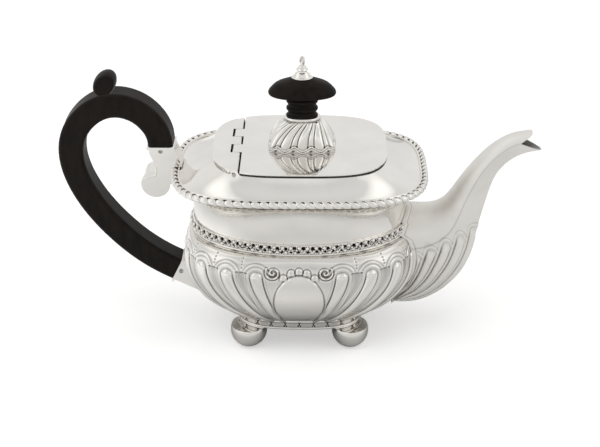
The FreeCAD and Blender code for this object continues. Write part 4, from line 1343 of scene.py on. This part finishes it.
def paper_finish():
    """Pale paper that keeps the pot's shadow and reads white to the eye; mirrors see it fall off in front,
    with painted light and shade.
    """
    material, tree, shader = new_material("floor_paper")
    camera, mirror = tree.rays()
    place = tree.place("Object")
    # In mirrors the paper darkens near the pot by occlusion: painted shadow
    shelter = tree.add("ShaderNodeAmbientOcclusion", samples=8)
    tree.put(SHELTER_REACH, shelter.inputs["Distance"])
    is_open = shelter.outputs["AO"]
    mirrored = tree.blend(is_open, PAPER_PAINTED_SHADOW, tree.ramp(tree.along("Y", place), FLOOR_GREY))
    tree.put(tree.blend(mirror, PAPER, mirrored), shader.inputs["Base Color"])
    shader.inputs["Roughness"].default_value = 0.8
    shader.inputs["Specular IOR Level"].default_value = 0.1
    # Painted light: a glow that only mirrors see, stronger to the left
    near = tree.ramp(tree.along("X", place), FLOOR_GLOW)
    lift = tree.blend(tree.math("MULTIPLY", mirror, is_open), BLACK, near)
    away = tree.add("ShaderNodeVectorMath", operation="LENGTH")
    tree.put(place, away.inputs[0])
    glow = tree.add("ShaderNodeEmission")
    tree.put(tree.blend(camera, lift, tree.ramp(away.outputs["Value"], FLOOR_WHITE)), glow.inputs["Color"])
    both = tree.add("ShaderNodeAddShader")
    tree.put(shader.outputs["BSDF"], both.inputs[0])
    tree.put(glow.outputs["Emission"], both.inputs[1])
    tree.put(both.outputs["Shader"], tree.nodes["Material Output"].inputs["Surface"])
    return material


def make_floor():
    """Wide square of paper under the pot."""
    mesh = bpy.data.meshes.new("floor")
    corners = ((-1, -1), (1, -1), (1, 1), (-1, 1))
    mesh.from_pydata([(FLOOR_REACH * x, FLOOR_REACH * y, 0) for x, y in corners], [], [(0, 1, 2, 3)])
    mesh.materials.append(paper_finish())
    floor = bpy.data.objects.new("floor", mesh)
    bpy.context.scene.collection.objects.link(floor)


def aimed_holder(name, data, place, aim):
    """Object for a lamp or a camera, turned towards an aim."""
    holder = bpy.data.objects.new(name, data)
    holder.location = place
    holder.rotation_euler = (Vector(aim) - Vector(place)).to_track_quat("-Z", "Y").to_euler()
    bpy.context.scene.collection.objects.link(holder)
    return holder


def add_lamp(name, place, aim_height, size, power):
    """Round soft lamp that mirrors don't show."""
    lamp = bpy.data.lights.new(name, "AREA")
    lamp.shape = "DISK"
    lamp.size = size
    lamp.energy = power
    aimed_holder(name, lamp, place, (0, 0, aim_height)).visible_glossy = False


def add_camera(levels):
    """Camera at the photograph's angle."""
    aim = Vector((0, 0, levels.aim_height))
    flat = levels.distance * math.cos(levels.elevation)
    rise = levels.distance * math.sin(levels.elevation)
    place = aim + Vector((flat * math.sin(levels.turn), -flat * math.cos(levels.turn), rise))
    camera = bpy.data.cameras.new("camera")
    camera.sensor_fit = "HORIZONTAL"
    camera.lens = levels.lens
    camera.clip_start = 0.01
    bpy.context.scene.camera = aimed_holder("camera", camera, place, aim)


class TEAPOT_OT_stage(Operator):
    """Sets the floor, the lamps and the camera"""

    bl_idname = "teapot.stage"
    bl_label = "Stage"

    def execute(self, context):
        levels = context.scene.teapot_stage
        make_floor()
        make_room(levels)
        add_lamp("key_lamp", place=(-0.2, -0.1, 1.3), aim_height=0.05, size=1.4, power=levels.key_power)
        add_lamp("left_lamp", place=(-1.1, -0.35, 0.7), aim_height=0.06, size=0.9, power=levels.fill_power)
        add_lamp("right_lamp", place=(1.1, -0.3, 0.6), aim_height=0.06, size=0.9, power=levels.fill_power)
        add_camera(levels)
        context.scene.view_settings.view_transform = "Standard"
        return {"FINISHED"}


STEPS = ("plain", "bowl", "bands", "spout", "dome", "scrolls", "stage")
GROUPS = {
    "teapot_bowl": BowlSizes,
    "teapot_trim": TrimSizes,
    "teapot_spout": SpoutSizes,
    "teapot_finish": FinishColours,
    "teapot_stage": StageLevels,
}


class TEAPOT_PT_panel(Panel):
    """Lists the teapot's steps and sizes"""

    bl_idname = "TEAPOT_PT_panel"
    bl_label = "Teapot"
    bl_space_type = "VIEW_3D"
    bl_region_type = "UI"
    bl_category = "Teapot"

    def draw(self, context):
        for step in STEPS:
            self.layout.operator("teapot." + step)
        for name in GROUPS:
            group = getattr(context.scene, name)
            for key in group.bl_rna.properties.keys():
                if key not in ("name", "rna_type"):
                    self.layout.prop(group, key)


CLASSES = (
    *GROUPS.values(),
    TEAPOT_OT_plain,
    TEAPOT_OT_bowl,
    TEAPOT_OT_bands,
    TEAPOT_OT_spout,
    TEAPOT_OT_dome,
    TEAPOT_OT_scrolls,
    TEAPOT_OT_stage,
    TEAPOT_PT_panel,
)


def register():
    """Adds the classes, and their sizes to the scene."""
    for item in CLASSES:
        bpy.utils.register_class(item)
    for name, group in GROUPS.items():
        setattr(bpy.types.Scene, name, PointerProperty(type=group))


def unregister():
    """Takes the sizes and the classes away again."""
    for name in GROUPS:
        delattr(bpy.types.Scene, name)
    for item in reversed(CLASSES):
        bpy.utils.unregister_class(item)


def main():
    """Builds the teapot and its stage."""
    register()
    for step in STEPS:
        getattr(bpy.ops.teapot, step)()


if __name__ == "__main__":
    main()
